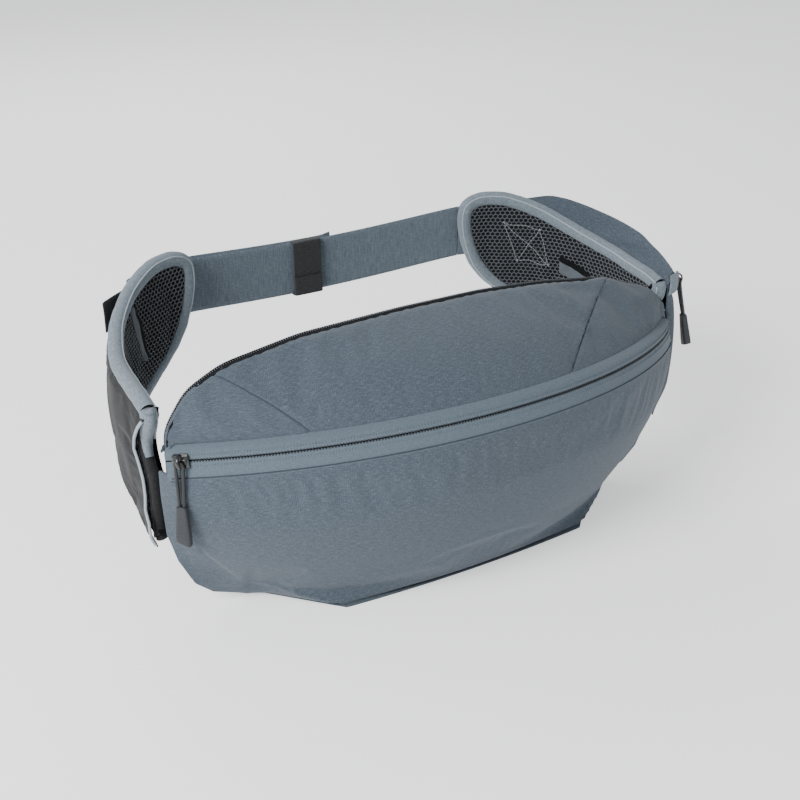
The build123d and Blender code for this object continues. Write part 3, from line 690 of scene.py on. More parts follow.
crest = backLoop[backLoop[:, 1] > lidSize["endHeight"]]
crest = crest[np.argsort(np.arctan2(crest[:, 1] - 110, -crest[:, 0]))]
crest = resample(crest, 600)
crestShare = np.linspace(0, 1, 600)


# u runs from the left end (0) to the right end (1), v from the zip to the crest
def lidPoint(u, v):
    angle = (2 * u - 1) * 46.3
    foot = zipPoint(angle, lidSize["footRadius"], lidSize["footRise"]) + [0, 0.4, 0.5]
    foot[..., 1] = np.minimum(foot[..., 1], 15.5)
    top = np.stack([np.interp(u, crestShare, crest[:, 0]) * 1.006, np.full_like(u, lidSize["rimY"]),
                    np.interp(u, crestShare, crest[:, 1]) + 0.9], axis=-1)
    slope = top - foot
    length = np.linalg.norm(slope, axis=-1, keepdims=True)
    along = np.stack([np.ones_like(u), 0.9 * (2 * u - 1), 0 * u], axis=-1)
    out = np.cross(along, slope)
    out /= np.linalg.norm(out, axis=-1, keepdims=True)
    v = v[..., None]
    swell = lidSize["bow"] * length / 90 * (4 * v * (1 - v)) ** 0.8
    roll = 2.2 * np.clip((v - 0.9) / 0.1, 0, 1) ** 2
    return foot + slope * v + out * (swell - roll)


# where along the lid each row crosses a seam's upright plane
def seamShare(side, v):
    (x0, y0), (x1, y1) = seamLines[side]
    low = np.full_like(v, 0.02 if side == "left" else 0.52)
    high = low + 0.46
    for _ in range(40):
        middle = (low + high) / 2
        place = lidPoint(middle, v)
        beyond = place[..., 0] > x0 + (place[..., 1] - y0) * (x1 - x0) / (y1 - y0)
        low, high = np.where(beyond, low, middle), np.where(beyond, middle, high)
    return middle


vRows = np.concatenate([[0, 0.008], np.linspace(0.025, 0.975, lidSize["rows"] - 4), [0.99, 1.0]])


def between(low, high, cols):
    share = np.concatenate([[0, 0.01], np.linspace(0.03, 0.97, cols - 4), [0.99, 1]])
    return low[:, None] * (1 - share) + high[:, None] * share


leftSeamX, rightSeamX = seamShare("left", vRows), seamShare("right", vRows)
leftXs = between(0 * vRows, leftSeamX, lidSize["leftCols"])
middleXs = between(leftSeamX, rightSeamX, lidSize["centreCols"])
rightXs = between(rightSeamX, 0 * vRows + 1, lidSize["rightCols"])
allXs = np.concatenate([leftXs, middleXs[:, 1:], rightXs[:, 1:]], axis=1)
lidGrid = lidPoint(allXs, np.broadcast_to(vRows[:, None], allXs.shape).copy())
leftCut, rightCut = lidSize["leftCols"] - 1, lidSize["leftCols"] + lidSize["centreCols"] - 2
# the corner where the right seam meets the back stands up a little, with hollows beside it
away = np.linalg.norm(lidGrid - lidGrid[-4, rightCut + 2], axis=2)
beside = np.linalg.norm(lidGrid - lidGrid[16, rightCut + 12], axis=2)
ridge = np.linalg.norm((lidGrid - lidGrid[20, rightCut + 24]) * [0.5, 1, 1.6], axis=2)
lidGrid += normalsOf(lidGrid) * (1.8 * np.exp(-(away / 11) ** 2) - 2.2 * np.exp(-(beside / 15) ** 2)
                                 + 1.2 * np.exp(-(ridge / 14) ** 2))[..., None]
lidGrid = settle(lidGrid, hold=2, pressure=2.2, slack=0.008, limit=3.0, seams=(leftCut, rightCut))
lidNormals = normalsOf(lidGrid)
seamPaths = {}
for side, column in (("left", leftCut), ("right", rightCut)):
    seamPaths[side] = (lidGrid[1:-1, column].copy(), lidNormals[1:-1, column].copy())
    lidGrid[:, column] -= lidNormals[:, column] * 0.8


# cloth at the lid's ends, all of it past the seam, between the pouch and the lid: the piece's placement is
# baked into its mesh; the seam's directions are worked out but not used
def foldWith(obj, side):
    (x0, y0), (x1, y1) = seamLines[side]
    along = np.array([x1 - x0, y1 - y0]) / np.hypot(x1 - x0, y1 - y0)
    across = np.array([along[1], -along[0]])
    across *= np.sign(across[0]) * (-1 if side == "left" else 1)
    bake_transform(obj)


lidPanel = clothPiece("lid_panel_cloth", lidGrid[:, leftCut:rightCut + 1], lidSize["thick"], shellCloth)
attach(lidPanel, "lid", "lid_panel", slot="shell_cloth")
for side, part in (("left", lidGrid[:, :leftCut + 1]), ("right", lidGrid[:, rightCut:])):
    gusset = clothPiece(f"{side}_gusset_cloth", part, lidSize["thick"], shellCloth)
    foldWith(gusset, side)
    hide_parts(f"{side}_gusset", f"{side}_shoulder")
    path, out = seamPaths[side]
    # a dark tube sunk in the seam's groove: painted shade, not stitching
    seam = tubeAlong(f"{side}_lid_seam", path - out * 0.75, (0.45, 0.4), seamGrooveShade, out, sides=8)
    attach(seam, "lid")
print("lid made")


# main zip: tapes, teeth and the ladder of stitches
tapeSize = dict(cols=220, thick=1.1, pitch=1.8, ladder=3.3)
angles = np.linspace(-zipSize["half"], zipSize["half"], tapeSize["cols"])
waver = np.convolve(dice.normal(0, 1, tapeSize["cols"] + 8), np.ones(9) / 9, mode="valid") * 0.35


# profile is (radius offset, rise, share of the ripple), span the first and last angle
def tapeGrid(profile, span):
    inside = (angles >= span[0] - 0.01) & (angles <= span[1] + 0.01)
    return np.array([zipPoint(angles[inside], zipSize["radius"] + out + waver[inside] * ripple, rise)
                     for out, rise, ripple in profile])


lowProfile = [(0.35, -11.6, 0), (0.3, -10.6, 0), (0.15, -8, 0.6), (0.1, -5, 0.8), (0.1, -2.5, 0.6),
              (0.0, -1.1, 0.4), (-0.45, -0.45, 0.3)]
highProfile = [(-0.45, 0.45, 0.3), (0.0, 1.1, 0.4), (0.1, 2.6, 0.6), (-0.1, 4.2, 0.6), (-0.7, 5.4, 0.5),
               (-2.4, 6.9, 0.4), (-4.4, 8.3, 0.2), (-6.0, 9.3, 0)]
whole = (-zipSize["half"], zipSize["half"])
lowerTape = clothPiece("lower_tape_cloth", tapeGrid(lowProfile, whole), tapeSize["thick"], tapeCloth)
attach(lowerTape, "pouch", "lower_tape", slot="zip_tape")
leftEnd, rightEnd = -26.5, 15.0
leftEnd = angles[np.argmin(np.abs(angles - leftEnd))]
rightEnd = angles[np.argmin(np.abs(angles - rightEnd))]
spans = (("left", (whole[0], leftEnd)), ("middle", (leftEnd, rightEnd)), ("right", (rightEnd, whole[1])))
tooth = pattern("tooth", (0.85, 0.9, 0.8), 0.25, coilPlastic, segments=2)
ladderThread = plainMaterial("zip ladder thread", "#566069", 0.5, Roughness=0.9, Specular_IOR_Level=0.1)
stitch = pattern("stitch", (0.38, 1.6, 0.36), 0.14, ladderThread, segments=2)


def zipRow(name, span, rise, out, part, material, turn=0.0):
    a = np.linspace(span[0] + turn, span[1], 160)
    radius = zipSize["radius"] + out + np.interp(a, angles, waver) * 0.4
    return row(name, zipPoint(a, radius, rise), zipOut(a), tapeSize["pitch"], part, material)


clear = (-zipSize["half"] + 3.6, zipSize["half"] - 0.6)
attach(zipRow("lower_coil_teeth", clear, -0.6, -0.15, tooth, coilPlastic), "pouch", "lower_coil",
       slot="zip_coil")
attach(zipRow("lower_ladder", clear, -tapeSize["ladder"], 0.1, stitch, ladderThread), "pouch")
for side, span in spans:
    tape = clothPiece(f"{side}_upper_tape", tapeGrid(highProfile, span), tapeSize["thick"], tapeCloth)
    span = (max(span[0], clear[0]), min(span[1], clear[1]))
    teeth = zipRow(f"{side}_upper_teeth", span, 0.6, -0.15, tooth, coilPlastic, 0.18)
    ladder = zipRow(f"{side}_upper_ladder", span, tapeSize["ladder"], 0.1, stitch, ladderThread)
    for obj in (tape, teeth, ladder):
        if side == "middle":
            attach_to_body(obj, "lid")
        else:
            foldWith(obj, side)
    if side == "middle":
        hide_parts("upper_tape")
        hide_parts("upper_coil")
    else:
        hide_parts(f"{side}_zip_end")
edgeAngles = np.linspace(-zipSize["half"] + 0.5, zipSize["half"] - 0.5, 200)
# a dark tube where the front panel meets the zip tape: painted shade in the seam's groove
seam = tubeAlong("front_panel_seam", zipPoint(edgeAngles, 260.9, -10.5), (0.35, 0.4), seamGrooveShade,
                 zipOut(edgeAngles), sides=8)
attach(seam, "pouch")
print("zip made")


# back panel
backFull, backLoop = backLoop, backLoop[::3]
backCentre = np.array([0.0, 92.0])
flat = discGrid(backLoop, backCentre, backSize["rings"], 0.6)
ringShare = (np.linspace(0, 1, backSize["rings"]) ** 0.6)[:, None]
dome = np.sqrt(np.maximum(1 - ringShare**7, 0.0))
channel = 1.8 * np.exp(-(flat[..., 0] / 9) ** 2) * (1 - ringShare**4)


# height of the padded back face at a place, for the net over it
def backSurface(x, z):
    inside = np.stack([x - backCentre[0], z - backCentre[1]], axis=-1)
    angle = np.arctan2(inside[..., 1], inside[..., 0])
    loopAngle = np.arctan2(backLoop[:, 1] - backCentre[1], backLoop[:, 0] - backCentre[0])
    order = np.argsort(loopAngle)
    size = np.linalg.norm(backLoop - backCentre, axis=1)
    limit = np.interp(angle, loopAngle[order], size[order], period=2 * np.pi)
    share = np.clip(np.linalg.norm(inside, axis=-1) / limit, 0, 1)
    return (backSize["inside"] + 3.0 + 5.6 * np.sqrt(np.maximum(1 - share**7, 0))
            - 1.8 * np.exp(-(x / 9) ** 2) * (1 - share**4))


outer = np.stack([flat[..., 0], backSize["inside"] + 3.0 + 5.6 * dome - channel, flat[..., 1]], axis=-1)
inner = np.stack([flat[..., 0], np.full(flat.shape[:2], backSize["inside"] + 0.9), flat[..., 1]], axis=-1)
rings = np.concatenate([outer, inner[::-1]])
backPad = tubePiece("back_pad", rings, foamSkin, flip=False)
attach(backPad, "pouch", "back_foam", "back_mesh", slot="spacer_mesh")
netLoop = insetLoop(backLoop if np.cross(backLoop[1] - backLoop[0], backLoop[2] - backLoop[1]) > 0
                    else backLoop[::-1], 3.0)
backNet = net(
    "back_net", lambda a, b: np.stack([a, backSurface(a, b) + 0.25, b], axis=-1), ((-190, 2), (190, 175)),
    backSize["cell"], backSize["thread"], meshYarn, lambda a, b: insideLoop(netLoop, a, b))
attach(backNet, "pouch")
lining = np.stack([flat[..., 0] * 0.988, np.full(flat.shape[:2], backSize["inside"] - 0.1),
                   backCentre[1] + (flat[..., 1] - backCentre[1]) * 0.975], axis=-1)
liningBack = lining + [0, 0.8, 0]
liningPanel = tubePiece("back_lining_cloth", np.concatenate([liningBack, lining[::-1]]), liningCloth)
attach(liningPanel, "pouch", "back_lining", slot="lining")
ordered = backFull[backFull[:, 1] > 52]
ordered = ordered[np.argsort(np.arctan2(ordered[:, 1] - 60, ordered[:, 0]))]
pipePath = resample(np.stack([ordered[:, 0], np.full(len(ordered), 21.3), ordered[:, 1]], axis=1), 220)
pipeOut = pipePath - [0, 20.9, 70]
pipeOut /= np.linalg.norm(pipeOut, axis=1, keepdims=True)
pipeWidth = np.interp(pipePath[:, 2], [52, 112, 140], [0.8, 0.9, 2.0])
piping = tubeAlong("back_piping_cloth", pipePath - pipeOut * 0.7, (pipeWidth, 1.0), meshBase, pipeOut,
                   sides=14)
attach(piping, "pouch", "back_piping", slot="piping")
crestOnly = pipePath[:, 2] > 132
pipeNet = row("back_edge_yarn", (pipePath + pipeOut * 0.4)[crestOnly], pipeOut[crestOnly], 1.5,
              pattern("edge yarn", (0.5, 3.0, 0.3), 0.12, meshYarn, segments=1), meshYarn)
attach(pipeNet, "pouch")
print("back made")


# wings: padded bands round the hips
wingForm = dict(border=11.0, borderThick=10.0, rows=44, cols=90, cell=3.7, thread=0.36,
                underWebbing=102.2, netStart=(-50, 35), netEnd=(140, 185))


def lineHeight(points, at):
    return np.interp(at, [p[0] for p in points], [p[1] for p in points])


wingTop = [(-43.5, 146), (-28, 149.5), (-3, 152), (20, 155), (40, 160), (57, 166.4), (75, 174), (91, 179.5),
           (105, 183), (122, 183.4), (132, 180.5), (138.5, 175)]
wingTip = [(140, 165), (139, 154), (136, 142), (130, 127), (120, 114), (108, 104.5), (97, 98)]
wingFoot = [(75, 88), (50, 79.5), (0, 63.5), (-24, 54.5), (-43.5, 50)]
rootEdge = [(-43.5, 97), (-37, 106), (-33, 114), (-36, 123), (-43.5, 134)]
wingOutline = np.array(wingFoot[::-1] + wingTip[::-1] + wingTop[::-1] + rootEdge[::-1])
wingLoop = roundLoop(wingOutline, 2.6, 300)


# a Coons patch over the outline, from its four corners
def wingPatch(loop, rows, cols):
    corners = [(-43.5, 50), (118, 112), (138, 178), (-43.5, 146)]
    at = [int(np.argmin(np.linalg.norm(loop - corner, axis=1))) for corner in corners]
    rolled = np.roll(loop, -at[0], axis=0)
    ends = [(k - at[0]) % len(loop) for k in at] + [len(loop)]
    closedLoop = np.concatenate([rolled, rolled[:1]])
    low = resample(closedLoop[:ends[1] + 1], cols)
    tip = resample(closedLoop[ends[1]:ends[2] + 1], rows)
    high = resample(closedLoop[ends[2]:ends[3] + 1], cols)[::-1]
    root = resample(closedLoop[ends[3]:], rows)[::-1]
    u, v = np.linspace(0, 1, cols)[None, :, None], np.linspace(0, 1, rows)[:, None, None]
    return ((1 - v) * low[None] + v * high[None] + (1 - u) * root[:, None] + u * tip[:, None]
            - (1 - u) * (1 - v) * low[0] - u * (1 - v) * low[-1] - (1 - u) * v * high[0] - u * v * high[-1])


def edgeShare(rows, cols, reach=0.16):
    u, v = np.meshgrid(np.linspace(0, 1, cols), np.linspace(0, 1, rows))
    near = np.minimum(np.minimum(u / 0.5, (1 - u) / 0.5), np.minimum(v / 0.5, (1 - v) / 0.5))
    return np.sin(np.clip(near / reach, 0, 1) * np.pi / 2)


# keeps a wing's outer cloth under the webbing that laps over it
def limitRadius(points, sign, cap):
    x, y = points[..., 0] * sign - wingSize["axisX"], points[..., 1] - wingSize["axisY"]
    radius = np.hypot(x, np.maximum(y, 0))
    under = (y > 60) & (points[..., 2] > 129)
    scale = np.where(under & (radius > cap), cap / radius, 1.0)
    points = points.copy()
    points[..., 0] = sign * (wingSize["axisX"] + x * scale)
    points[..., 1] = np.where(y > 0, wingSize["axisY"] + y * scale, points[..., 1])
    return points


# places on a settled pad or cloth, moved outwards by lift
def overPad(points, sign, a, b, lift=-0.35):
    table = patch.reshape(-1, 2)
    radius = np.hypot(points[..., 0].ravel() * sign - wingSize["axisX"],
                      np.maximum(points[..., 1].ravel() - wingSize["axisY"], 0))
    gap = (a[:, None] - table[None, :, 0]) ** 2 + (b[:, None] - table[None, :, 1]) ** 2
    near = np.argpartition(gap, 4, axis=1)[:, :4]
    weight = 1 / (np.take_along_axis(gap, near, axis=1) + 0.05)
    return wingPoint(a, b, (radius[near] * weight).sum(axis=1) / weight.sum(axis=1) + lift, sign)


fieldLoop = insetLoop(wingLoop, wingForm["border"] * 0.62)
borderLoop = insetLoop(wingLoop, wingForm["border"] * 0.45)
patch = wingPatch(fieldLoop, wingForm["rows"], wingForm["cols"])
swell = edgeShare(wingForm["rows"], wingForm["cols"])
atRoot = (borderLoop[:, 0] < -24) & (borderLoop[:, 1] > 57) & (borderLoop[:, 1] < 128)
startAt = int(np.where(atRoot & ~np.roll(atRoot, -1))[0][0])
rolledBorder = np.roll(borderLoop, -startAt, axis=0)
rootCount = int(atRoot.sum())
mainBorder, rootBorder = rolledBorder[:-rootCount + 2], rolledBorder[-rootCount - 3:]
rootBorder = np.concatenate([rootBorder, rolledBorder[:3]])
for side, sign in (("left", -1), ("right", 1)):
    body = f"{side}_wing"
    outerFinish = shellCloth if sign > 0 else stretchCloth
    inner = wingPoint(patch[..., 0], patch[..., 1], 95.9 - 1.5 * swell, sign)
    inner = settle(inner, hold=2, pressure=1.2, slack=0.008, limit=1.5, flip=sign > 0)
    face = clothPiece(f"{body}_inner_pad", inner, 5.0, foamSkin, flip=sign > 0)
    attach(face, body, f"{body}_mesh", f"{body}_foam", slot="spacer_mesh")
    outer = wingPoint(patch[..., 0], patch[..., 1], 101.0 + 1.6 * swell, sign)
    outer = settle(outer, hold=2, pressure=2.0, slack=0.012, limit=2.0, flip=sign < 0)
    outer = limitRadius(outer, sign, wingForm["underWebbing"])
    shell = clothPiece(f"{body}_outer_cloth", outer, 1.4, outerFinish, flip=sign < 0)
    attach(shell, body, f"{body}_shell", slot="shell_cloth")
    count = len(mainBorder)
    uneven = np.convolve(dice.normal(0, 1, count + 12), np.ones(13) / 13, mode="valid")
    thin = 1 - 0.45 * np.clip((12 - np.minimum(np.arange(count), np.arange(count)[::-1])) / 12, 0, 1)
    path = wingPoint(mainBorder[:, 0], mainBorder[:, 1], 98.4 + uneven * 0.7, sign)
    out = wingOut(mainBorder[:, 0], sign)
    halves = (wingForm["border"] / 2 * thin, wingForm["borderThick"] / 2 * thin)
    border = tubeAlong(f"{body}_border", path, halves, borderCloth, out, sides=24)
    corners = np.array([v.co for v in border.data.vertices]) / mm
    corners = limitRadius(corners, sign, wingForm["underWebbing"])
    border.data.vertices.foreach_set("co", (corners * mm).ravel())
    attach(border, body, f"{body}_binding", slot="binding")
    rootPath = wingPoint(rootBorder[:, 0], rootBorder[:, 1], 98.4, sign)
    rootTube = tubeAlong(f"{body}_root_edge", rootPath, (1.5, 3.4), outerFinish,
                         wingOut(rootBorder[:, 0], sign), sides=16)
    attach(rootTube, body)
    cordLoop = insetLoop(mainBorder, -wingForm["border"] * 0.27)[6:-6]
    cordPath = wingPoint(cordLoop[:, 0], cordLoop[:, 1], 94.3 + uneven[6:-6] * 0.7, sign)
    seam = tubeAlong(f"{body}_edge_cord", cordPath, (0.6, 0.55), lightThread,
                     -wingOut(cordLoop[:, 0], sign), sides=8)
    attach(seam, body)
    wingNet = net(
        f"{body}_net", lambda a, b: overPad(inner, sign, a, b), (wingForm["netStart"], wingForm["netEnd"]),
        wingForm["cell"], wingForm["thread"], meshYarn,
        lambda a, b: insideLoop(insetLoop(fieldLoop, -1.5), a, b))
    attach(wingNet, body)
    if sign < 0:
        rootNet = net(
            "left_root_net", lambda a, b: overPad(outer, sign, a, b, 0.3), (wingForm["netStart"], (10, 150)),
            wingForm["cell"], wingForm["thread"], meshYarn, lambda a, b: insideLoop(fieldLoop, a, b))
        attach(rootNet, body)
        # a strip of webbing lies in a slit of the left pad
        strip = np.linspace(0, 1, 30)
        for name, shift, wide, finish, lift in (("slit", 0.0, 4.2, meshBase, -0.9),
                                                ("strip", -3.6, 3.2, greyWeb, -1.3)):
            rowsOut = []
            for offset in np.linspace(-wide, wide, 7):
                a = 74 + shift + offset * (1 - 0.2 * strip) + 12 * strip
                rowsOut.append(overPad(inner, sign, a, 163 - 42 * strip, lift + 0.04 * offset**2))
            attach(clothPiece(f"left_wing_{name}", np.array(rowsOut), 0.6, finish, flip=False), body)
    else:
        # a sewn square with its cross, and a short slit with the end of a strap in it
        corners = dict(a=(104, 160.7), b=(75.3, 156.5), c=(92.3, 130.9), d=(66.5, 129.1))
        sewn = pattern("sewn stitch", (2.3, 0.45, 0.4), 0.15, whiteThread, segments=2)
        for first, last in ("ab", "ac", "bd", "cd", "ad", "bc"):
            share = np.linspace(0, 1, 40)
            a = corners[first][0] * (1 - share) + corners[last][0] * share
            b = corners[first][1] * (1 - share) + corners[last][1] * share
            b = b + 0.6 * np.sin(share * 9 + ord(first))
            seamLine = overPad(inner, sign, a, b, -0.95)
            sewing = row(f"right_wing_sewing_{first}{last}", seamLine, -wingOut(a, 1), 2.7, sewn,
                         whiteThread)
            attach(sewing, body)
        strip = np.linspace(0, 1, 24)
        for name, shift, wide, finish, lift in (("slit", 0.0, 5.0, meshBase, -0.9),
                                                ("strap_end", -4.0, 4.5, greyWeb, -1.4)):
            rowsOut = []
            for offset in np.linspace(-wide, wide, 7):
                b = 133 + shift + offset - 9 * strip
                rowsOut.append(overPad(inner, sign, 57 - 28 * strip, b, lift))
            attach(clothPiece(f"right_wing_{name}", np.array(rowsOut), 0.6, finish, flip=True), body)
print("wings made")


# pockets on the wings
def plainTape(name, body, node, grid, flip=False):
    tape = clothPiece(name, grid, 0.9, tapeCloth, flip=flip)
    return attach(tape, body, node, slot="zip_tape")


zipPocket = dict(cols=96, rows=56, clothRadius=101.6, belly=7.0,
                 top=[(26, 152), (45, 157), (73, 165), (106, 171.5), (127, 176.5), (146, 179), (170, 180)],
                 foot=[(26, 38), (45, 52), (70, 66), (110, 81), (156, 102), (170, 108)])
pocketTs = np.concatenate([[-43.2, -43.0, -42.4], np.linspace(-41.4, 87, zipPocket["cols"] - 6),
                           [89, 90.5, 91]])
pocketYs = wingPoint(pocketTs, 0, wingSize["middle"], 1)[:, 1]
circle = np.sqrt(117.5**2 - np.minimum(pocketYs - wingSize["axisY"], 0) ** 2) - 102
frontCurl = np.sqrt(np.clip(1 - ((pocketTs + 40.4) / -2.9).clip(0, 1) ** 2, 0, 1))
backCurl = np.sin(np.clip((91 - pocketTs) / 22, 0, 1) * np.pi / 2)
depth = circle * np.minimum(frontCurl, backCurl)
share = np.concatenate([np.linspace(0, 0.79, zipPocket["rows"] - 22), np.linspace(0.8, 1, 22)])
low, high = lineHeight(zipPocket["foot"], pocketYs), lineHeight(zipPocket["top"], pocketYs)
v = share[:, None]
# the crown rises over the wing's edge and comes back down to it
rim = lineHeight(wingTop, pocketTs) - 2
crown = rim + (high - rim) * np.minimum(frontCurl * 0.6 + 0.4, backCurl)
overTop = np.clip((v - 0.8) / 0.2, 0, 1)
down = np.clip(overTop * 2 - 1, 0, 1)
z = (low[None] + (crown - 8 - low)[None] * np.clip(v / 0.8, 0, 1)
     + 8 * np.sin(np.clip(overTop * 1.8, 0, 1) * np.pi / 2)
     - (crown - rim)[None] * down**2 * (3 - 2 * down))
lowCurl = np.sin(np.clip((z - low[None]) / 24, 0, 1) * np.pi / 2) ** 0.8
highCurl = np.cos(overTop * np.pi / 2) ** 0.75
belly = 1.5 * np.sin(v * np.pi) * np.clip((pocketTs + 30) / 40, 0, 1)[None]
belly = belly + zipPocket["belly"] * (np.exp(-((pocketTs + 34) / 26) ** 2) * frontCurl)[None] * np.sin(
    np.pi * np.clip((z - low[None]) / (134 - low[None]), 0, 1)) ** 0.6
radius = zipPocket["clothRadius"] + (depth[None] + belly * (v < 0.75)) * np.minimum(lowCurl, 1) * highCurl
crease = 2.2 * np.exp(-((z - (160 - 0.10 * (pocketYs[None] - 60))) / 3.0) ** 2) * np.exp(
    -((pocketYs[None] - 95) / 35) ** 2)
pocketGrid = wingPoint(np.broadcast_to(pocketTs, z.shape), z, radius - crease, 1)
pocketGrid = settle(pocketGrid, hold=2, pressure=2.5, slack=0.012, limit=2.2)
pocketZip = dict(first=-20.0, last=50.0, height=143.0, radius=118.4, cols=90)
# the cloth stays under the pocket's zip
nearZip = np.exp(-((z - pocketZip["height"]) / 9.5) ** 4)[..., None]
pocketGrid = pocketGrid * (1 - nearZip) + wingPoint(
    np.broadcast_to(pocketTs, z.shape), z,
    np.minimum(radius, zipPocket["clothRadius"] + circle - 0.4), 1) * nearZip
pocketCloth = clothPiece("right_pocket_cloth", pocketGrid, 1.3, shellCloth)
attach(pocketCloth, "right_wing", "right_pocket", slot="shell_cloth")


def pocketPoint(angle, z, radius):
    a = np.radians(np.asarray(angle, float))
    a, z, radius = np.broadcast_arrays(a, z, radius)
    return np.stack([wingSize["axisX"] + radius * np.cos(a), wingSize["axisY"] + radius * np.sin(a), z],
                    axis=-1)


zipAngles = np.linspace(pocketZip["first"], pocketZip["last"], pocketZip["cols"])
for name, profile in (
        ("high", [(0.0, 0.5), (0.3, 1.2), (0.3, 3.0), (0.1, 5.0), (-0.6, 6.2)]),
        ("low", [(-0.6, -6.2), (0.1, -5.0), (0.3, -3.0), (0.3, -1.2), (0.0, -0.5)])):
    grid = np.array([pocketPoint(zipAngles, pocketZip["height"] + up, pocketZip["radius"] + out - 0.3)
                     for out, up in profile])
    plainTape(f"pocket_tape_{name}_cloth", "right_wing", f"pocket_tape_{name}", grid, flip=False)
zipLine = np.linspace(pocketZip["first"] + 4.5, pocketZip["last"], 120)
zipAway = pocketPoint(zipLine, 0, 1) - [wingSize["axisX"], wingSize["axisY"], 0]
for index, up in enumerate((-0.6, 0.6)):
    line = pocketPoint(zipLine + index * 0.4, pocketZip["height"] + up, pocketZip["radius"] - 0.1)
    teeth = row(f"pocket_teeth_{index}", line, zipAway, 1.65, tooth, coilPlastic)
    attach(teeth, "right_wing", *(("pocket_coil",) if index == 0 else ()), slot="zip_coil")
for index, up in enumerate((-3.4, 3.4)):
    line = pocketPoint(zipLine, pocketZip["height"] + up, pocketZip["radius"] + 0.1)
    attach(row(f"pocket_ladder_{index}", line, zipAway, 1.65, stitch, ladderThread), "right_wing")
# a fold of tape covers the zip's front end
foldTurn = np.linspace(0, 1, 26)
foldPath = np.stack([196 + 10.5 * np.sin(foldTurn * np.pi * 0.62), 24.6 + 6.0 * foldTurn,
                     np.full(26, pocketZip["height"])], axis=1)
foldRows = np.linspace(-8.5, 8.5, 14)
foldGrid = np.array([foldPath + [-0.0126 * up**2, 0, up + 1.2 * np.sin(up * 0.5)] for up in foldRows])
garage = clothPiece("pocket_zip_garage", foldGrid, 1.2, borderCloth, flip=False)
attach(garage, "right_wing")

# the left pocket is stretch cloth with a bound edge towards the front
stretchForm = dict(cols=70, rows=60)
v = np.linspace(0, 1, stretchForm["rows"])[:, None]
u = np.linspace(0, 1, stretchForm["cols"])[None]
mouthT = lineHeight([(0, -42.5), (0.2, -42), (0.27, -37), (0.38, -37.5), (0.5, -35), (0.57, -31),
                     (0.66, -25), (0.78, -30), (0.91, -38), (1, -42)], v)
stretchTs = mouthT * (1 - u) + 78 * u
stretchYs = wingPoint(stretchTs, 0, wingSize["middle"], 1)[..., 1]
low = lineHeight([(26, 51), (46, 55), (70, 65), (110, 80), (146, 98)], stretchYs)
high = lineHeight([(26, 139), (62, 145), (104, 153), (135, 163), (146, 166)], stretchYs)
z = low * (1 - v) + high * v
sides = np.sin(np.clip(np.minimum(v, 1 - v) / 0.10, 0, 1) * np.pi / 2)
shut = np.sin(np.clip((1 - u) / 0.2, 0, 1) * np.pi / 2)
loose = 1 + 0.4 * np.clip(1 - u / 0.35, 0, 1) * np.sin(np.pi * v)
radius = 102.9 + 2.0 * sides * shut * loose
folds = np.sin(9 * v + 5 * u + 1.5 * np.sin(6 * u)) * 0.7 + np.sin(17 * u - 7 * v + 2) * 0.5
radius = radius + 0.8 * folds * sides * shut
stretchGrid = wingPoint(stretchTs, z, radius, -1)
stretchGrid = settle(stretchGrid, hold=1, pressure=1.0, slack=0.02, limit=1.2, flip=True)
stretchPocket = clothPiece("left_pocket_cloth", stretchGrid, 1.0, stretchCloth, flip=True)
attach(stretchPocket, "left_wing", "left_pocket", slot="stretch_cloth")
mouth = stretchGrid[1:-1, 0]
mouthOut = np.repeat([[-1.0, -0.2, 0.0]], len(mouth), axis=0)
bound = tubeAlong("left_pocket_bound_edge", mouth, (1.1, 0.9), lightThread, mouthOut, sides=10)
attach(bound, "left_wing")
print("pockets made")


# belt
# lap is the strap's inside radius on the wings; across the back it runs on a wider circle
beltForm = dict(low=132.6, high=170.6, lap=103.6, thick=1.8, joint=79.38, centreY=-423.13, extra=501.58,
                droop=7.5, droopHalf=112.0)


# plan points of the belt from the left lap round the back; out is the lap's radius
def beltPath(out, leftEnd, rightX, count):
    joint = 180 - beltForm["joint"]
    left = np.radians(np.linspace(180 - leftEnd, joint, 60))
    lap = np.stack([-wingSize["axisX"] + out * np.cos(left), wingSize["axisY"] + out * np.sin(left)], axis=1)
    radius = beltForm["extra"] + out
    back = np.radians(np.linspace(joint, np.degrees(np.arccos(rightX / radius)), 300))[1:]
    arc = np.stack([radius * np.cos(back), beltForm["centreY"] + radius * np.sin(back)], axis=1)
    return resample(np.concatenate([lap, arc]), count)


def lapPath(out, first, last, count, side):
    a = np.radians(np.linspace(first, last, count))
    return np.stack([side * (wingSize["axisX"] + out * np.cos(a)), wingSize["axisY"] + out * np.sin(a)],
                    axis=1)


# the belt hangs lower across the back than at the wings
def droop(plan):
    return beltForm["droop"] * np.clip(1 - (plan[:, 0] / beltForm["droopHalf"]) ** 2, 0, 1) ** 1.2


def bandGrid(plan, low, high, rows):
    zs = np.linspace(low, high, rows)
    return np.array([np.column_stack([plan, zz - droop(plan)]) for zz in zs])


# flat webbing with its two selvedges drawn in a little
def webPiece(name, plan, low, high, thickness, material, flip, body, node=None, slot=None):
    rows = 15
    grid = bandGrid(plan, low, high, rows)
    normal = normalsOf(grid) * (-1 if flip else 1)
    drawn = 0.25 * np.cos(np.linspace(-1, 1, rows) * np.pi / 2)[:, None, None]
    piece = clothPiece(name, grid + normal * (drawn - 0.25), thickness, material, flip=flip, bulge=0.5)
    return attach(piece, body, *([node] if node else []), slot=slot)


